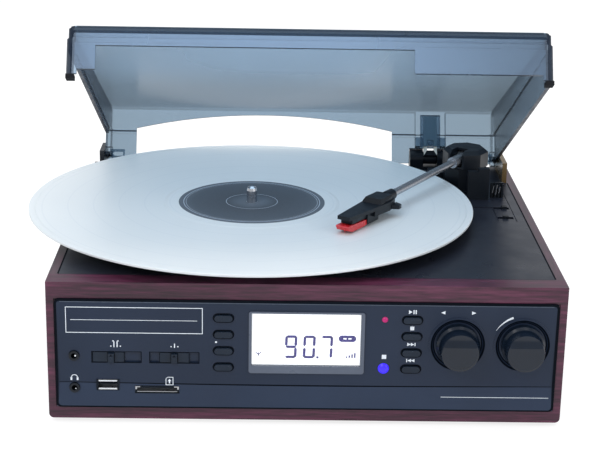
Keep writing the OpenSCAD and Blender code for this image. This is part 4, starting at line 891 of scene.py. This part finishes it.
def socket_fronts():
    """Painted shade round the card slot and the stick socket, and painted highlights where the sockets catch
    the light.
    """
    shell_front, shell_back = -1.78, -1.66
    bm = bmesh.new()
    # card slot: painted shade on the upper lip between the ends, and a painted shadow line under the slot
    bar(bm, -101.6, 24.5, -80.8, 25.4, shell_front, shell_back)
    printed_bar(bm, -104.9, 20.6, -77.5, 21.6)
    # stick socket: painted shade on its ends, a painted shadow line under it, and painted shade on the
    # tongue's front
    for x0, x1 in ((-128.3, -127.1), (-115.5, -114.3)):
        bar(bm, x0, 22.7, x1, 29.5, -1.72, -1.1)
    printed_bar(bm, -128.3, 22.3, -114.3, 22.95)
    bar(bm, -127.0, 26.2, -115.6, 28.4, -0.48, -0.41)
    # card slot: lower lip in painted shadow but for its upper edge, and painted shade on the ends' feet
    bar(bm, -104.6, 21.4, -77.8, 21.75, shell_front, shell_back)
    for x in (-104.55, -78.95):
        bar(bm, x, 21.4, x + 1.1, 23.3, shell_front, shell_back)
    piece("socket_mouths", bm, "mouth", "cabinet")
    # light caught by the stick socket's shell
    bm = bmesh.new()
    for z0, z1 in ((28.3, 29.1), (23.2, 24.0)):
        bar(bm, -126.7, z0, -115.9, z1, -1.76, -1.6)
    piece("socket_glints", bm, "glint", "cabinet")
    # light caught by the contacts in the two round sockets
    bm = bmesh.new()
    for x, z, r in ((-140.75, 45.1, 0.55), (-140.9, 23.5, 0.36)):
        prism(bm, disc_points(x, z, r, 12), -1.95, -1.75)
    piece("jack_contacts", bm, "glint", "cabinet")


def segments(bm, x, z, on, y0, y1):
    """One seven-segment digit with its lower left corner at (x, z), leaning to the right."""
    w, h, t, gap, slant = 7.4, 14.9, 1.6, 0.5, 0.035
    half, mid = t / 2, z + h / 2

    def put(points):
        prism(bm, [(px + slant * (pz - z), pz) for px, pz in points], y0, y1)

    def horizontal(zc):
        x0, x1 = x + gap, x + w - gap
        put([(x0 + half, zc - half), (x1 - half, zc - half), (x1, zc), (x1 - half, zc + half),
             (x0 + half, zc + half), (x0, zc)])

    def vertical(xc, za, zb):
        z0, z1 = za + gap, zb - gap
        put([(xc - half, z0 + half), (xc, z0), (xc + half, z0 + half), (xc + half, z1 - half),
             (xc, z1), (xc - half, z1 - half)])

    for segment, zc in (("a", z + h - half), ("g", mid), ("d", z + half)):
        if segment in on:
            horizontal(zc)
    for segment, xc, za, zb in (("f", x + half, mid, z + h), ("b", x + w - half, mid, z + h),
                                ("e", x + half, z, mid), ("c", x + w - half, z, mid)):
        if segment in on:
            vertical(xc, za, zb)


def display_marks():
    """Plain number on the display, and generic signs where the words are in the photo."""
    bm = bmesh.new()
    y0, y1 = -0.20, -0.11
    digit_z = 44.4
    for x, on in ((-13.6, "abcdfg"), (-2.4, "abcdef"), (8.2, "abc")):
        segments(bm, x, digit_z, on, y0, y1)
    bar(bm, 6.0, digit_z, 7.4, digit_z + 1.4, y0, y1)
    # oval badge, with two light bars on it
    prism(bm, stadium(24.75, 57.5, 10.7, 4.2, 12), y0, y1)
    # aerial sign
    bar(bm, -29.6, 45.4, -29.2, 48.0, y0, y1)
    aerial = [(-31.4, 48.2), (-29.4, 46.2), (-27.4, 48.2), (-28.0, 48.2), (-29.4, 46.9), (-30.8, 48.2)]
    prism(bm, aerial, y0, y1)
    # four level bars
    for i in range(4):
        bar(bm, 24.0 + i * 1.7, 45.0, 24.9 + i * 1.7, 45.9 + i * 0.75, y0, y1)
    piece("display_ink", bm, "segment", "cabinet")
    bm = bmesh.new()
    for x in (22.3, 25.3):
        bar(bm, x, 57.1, x + 1.9, 57.9, y0 - 0.03, y0 + 0.01)
    piece("display_badge", bm, "lcd", "cabinet")


# pieces on the deck, the cover and the record


def rest_glints():
    """Light along the ribs of the clip beside the arm rest."""
    bm = bmesh.new()
    for x, z0, z1 in ((136.3, 95.6, 101.2), (138.7, 94.2, 101.6), (140.9, 95.4, 100.2)):
        prism(bm, [(x - 0.5, z0), (x, z0), (x + 0.9, z1), (x + 0.3, z1)], 188.93, 189.05)
    piece("rest_glints", bm, "tube", "cabinet")


def deck_line():
    """Shadow gaps between the deck and the side panels."""
    bm = bmesh.new()
    for x0, x1 in ((-152.75, -151.72), (151.72, 152.75)):
        bar(bm, x0, DECK_MM - 0.6, x1, DECK_MM + 0.03, 15.0, 227.0)
    piece("deck_line", bm, "groove", "cabinet")


def hinge_cheeks():
    """Cheeks at the ends of the hinge's body."""
    axis_z, n = DECK_MM + HINGE_UP, 20
    bm = bmesh.new()
    side = arc_points(HINGE_Y, axis_z, BARREL_R, 0, 180, n)
    side += [(HINGE_Y - BARREL_R, DECK_MM + 0.05), (HINGE_Y + BARREL_R, DECK_MM + 0.05)]
    for x0, x1 in ((HINGE_X - 15.3, HINGE_X - 14.0), (HINGE_X + 14.0, HINGE_X + 15.3)):
        a = [bm.verts.new(at(x0, y, z)) for y, z in side]
        b = [bm.verts.new(at(x1, y, z)) for y, z in side]
        bm.faces.new(a)
        bm.faces.new(b[::-1])
        for i in range(len(side)):
            j = (i + 1) % len(side)
            bm.faces.new([a[j], a[i], b[i], b[j]])
    bmesh.ops.recalc_face_normals(bm, faces=bm.faces)
    piece("hinge_cheeks", bm, "black", "cabinet")


def cover_lip():
    """The cover's lip over the hinge barrel, on both sides of the blade."""
    first, turn, n = -24, 30, 8
    bm = bmesh.new()
    for x0, x1 in ((HINGE_X - 15.5, HINGE_X - 5.2), (HINGE_X + 5.2, HINGE_X + 15.5)):
        for i in range(n):
            cover_hull(bm, [(x, HINGE_Y + r * math.sin(a), DECK_MM + HINGE_UP + r * math.cos(a))
                            for a in (math.radians(first + turn * k / n) for k in (i, i + 1))
                            for r in (BARREL_R + 0.3, BARREL_R + 1.1) for x in (x0, x1)])
    piece("cover_lip", bm, "cover_edge", "cover")


def pin_bosses():
    """Moulded backs of the cover's two pin bores, inside its rear wall."""
    bm = bmesh.new()
    for s in (-1, 1):
        cover_hull(bm, [(s * x, y, DECK_MM + HINGE_UP + up)
                        for x in (134.6, 145.5) for y in (264.9, 265.6) for up in (-3.2, 3.2)])
    piece("pin_bosses", bm, "cover", "cover")


def record_label():
    """The paper label, and the fine rings printed on it."""
    hole, edge = 3.75, 50.0
    top, low = RECORD_TOP + 0.05 * MM, RECORD_TOP - 0.05 * MM
    bm = bmesh.new()
    spindle_ring(bm, [(hole, low), (hole, top), (14.0, top), (30.0, top), (edge - 0.2, top), (edge, low)])
    piece("record_label", bm, "label", "turntable")
    bm = bmesh.new()
    high = top + 0.03 * MM
    for r, w in ((46.5, 0.5), (44.9, 0.25), (17.5, 0.35)):
        r0, r1 = r - w / 2, r + w / 2
        spindle_ring(bm, [(r0, top), (r0, high), (r1, high), (r1, top)])
    piece("label_rings", bm, "print_dim", "turntable")


# floor, lights and camera


def floor_material():
    """White where it is seen, straight or in a gloss, and a plain grey for light that bounces off it."""
    m = bpy.data.materials.new("floor_white")
    tree = cleared(m)
    out = tree.nodes.new("ShaderNodeOutputMaterial")
    path = tree.nodes.new("ShaderNodeLightPath")
    mirrored = larger(tree, path.outputs["Is Glossy Ray"], path.outputs["Is Transmission Ray"])
    seen = larger(tree, path.outputs["Is Camera Ray"], mirrored)
    plain = tree.nodes.new("ShaderNodeBsdfDiffuse")
    plain.inputs["Color"].default_value = (0.8, 0.8, 0.8, 1)
    soft = tree.nodes.new("ShaderNodeBsdfDiffuse")
    soft.inputs["Color"].default_value = (0.30, 0.30, 0.30, 1)
    glow = tree.nodes.new("ShaderNodeEmission")
    glow.inputs["Color"].default_value = (1, 1, 1, 1)
    glow.inputs["Strength"].default_value = 0.80
    lit = tree.nodes.new("ShaderNodeAddShader")
    link(tree, soft.outputs[0], lit.inputs[0])
    link(tree, glow.outputs[0], lit.inputs[1])
    link(tree, mixed_shaders(tree, seen, plain.outputs[0], lit.outputs[0]), out.inputs[0])
    return m


def background(tree, rgb, strength):
    n = tree.nodes.new("ShaderNodeBackground")
    n.inputs["Color"].default_value = (*rgb, 1)
    n.inputs["Strength"].default_value = strength
    return n.outputs[0]


def studio_world():
    """White to the camera, and a cool ambient light to everything else."""
    world = bpy.data.worlds.new("studio")
    bpy.context.scene.world = world
    tree = cleared(world)
    out = tree.nodes.new("ShaderNodeOutputWorld")
    path = tree.nodes.new("ShaderNodeLightPath")
    ambient = background(tree, (0.93, 0.96, 1.0), 0.60)
    shown = background(tree, (1, 1, 1), 1.0)
    link(tree, mixed_shaders(tree, path.outputs["Is Camera Ray"], ambient, shown), out.inputs[0])


def area_light(name, place, width, height, power):
    target = Vector((0, 0, 0.1))
    data = bpy.data.lights.new(name, "AREA")
    data.shape = "RECTANGLE"
    data.size = width
    data.size_y = height
    data.energy = power
    o = bpy.data.objects.new(name, data)
    bpy.context.scene.collection.objects.link(o)
    o.location = place
    o.rotation_euler = (target - Vector(place)).to_track_quat("-Z", "Y").to_euler()


def photo_camera():
    """The photo's camera, as fitted to the record, the cabinet and the cover."""
    place = at(-23.026, -882.603, 411.306)
    right = Vector((0.99973636, -0.01408787, 0.01813139))
    up = Vector((-0.01299074, 0.3040821, 0.95255725))
    ahead = Vector((0.01893293, 0.95254166, -0.30381892))
    data = bpy.data.cameras.new("camera")
    data.sensor_width = 36
    data.lens = 93.495
    data.clip_start = 0.05
    data.clip_end = 100
    cam = bpy.data.objects.new("camera", data)
    bpy.context.scene.collection.objects.link(cam)
    bpy.context.scene.camera = cam
    cam.matrix_world = Matrix.Translation(place) @ Matrix((right, up, -ahead)).transposed().to_4x4()


paint_nodes()
second_material("front_board", "wood_y", board_end)
second_material("lcd_module", "board", display_back)
second_material("hinge_blade", "black", knuckle)
second_material("indicators", "blue", lower_lamp)
second_material("hinge_ears", "ear_shade", left_bracket)
second_material("dust_cover", "cover_edge", cover_border)
for node_name, edge_width in SOFT_EDGES.items():
    soften(node_name, edge_width)

front_marks()
fold_line()
fascia_border()
knob_rings()
key_wells()
slider_lines()
socket_fronts()
deck_line()
rest_glints()
display_marks()
hinge_cheeks()
cover_lip()
pin_bosses()
record_label()

floor_half = 30
floor_corners = [(-floor_half, -floor_half, 0), (floor_half, -floor_half, 0),
                 (floor_half, floor_half, 0), (-floor_half, floor_half, 0)]
floor_mesh = bpy.data.meshes.new("floor")
floor_mesh.from_pydata(floor_corners, [], [(0, 1, 2, 3)])
floor_mesh.materials.append(floor_material())
floor = bpy.data.objects.new("floor", floor_mesh)
bpy.context.scene.collection.objects.link(floor)

studio_world()
area_light("key", (-0.9, -1.3, 1.7), 1.4, 1.4, 20)
area_light("top", (0.1, 0.4, 1.9), 1.8, 1.2, 22)
area_light("fill", (1.5, -1.0, 0.9), 1.2, 1.2, 8)
photo_camera()
bpy.context.scene.view_settings.view_transform = "Standard"
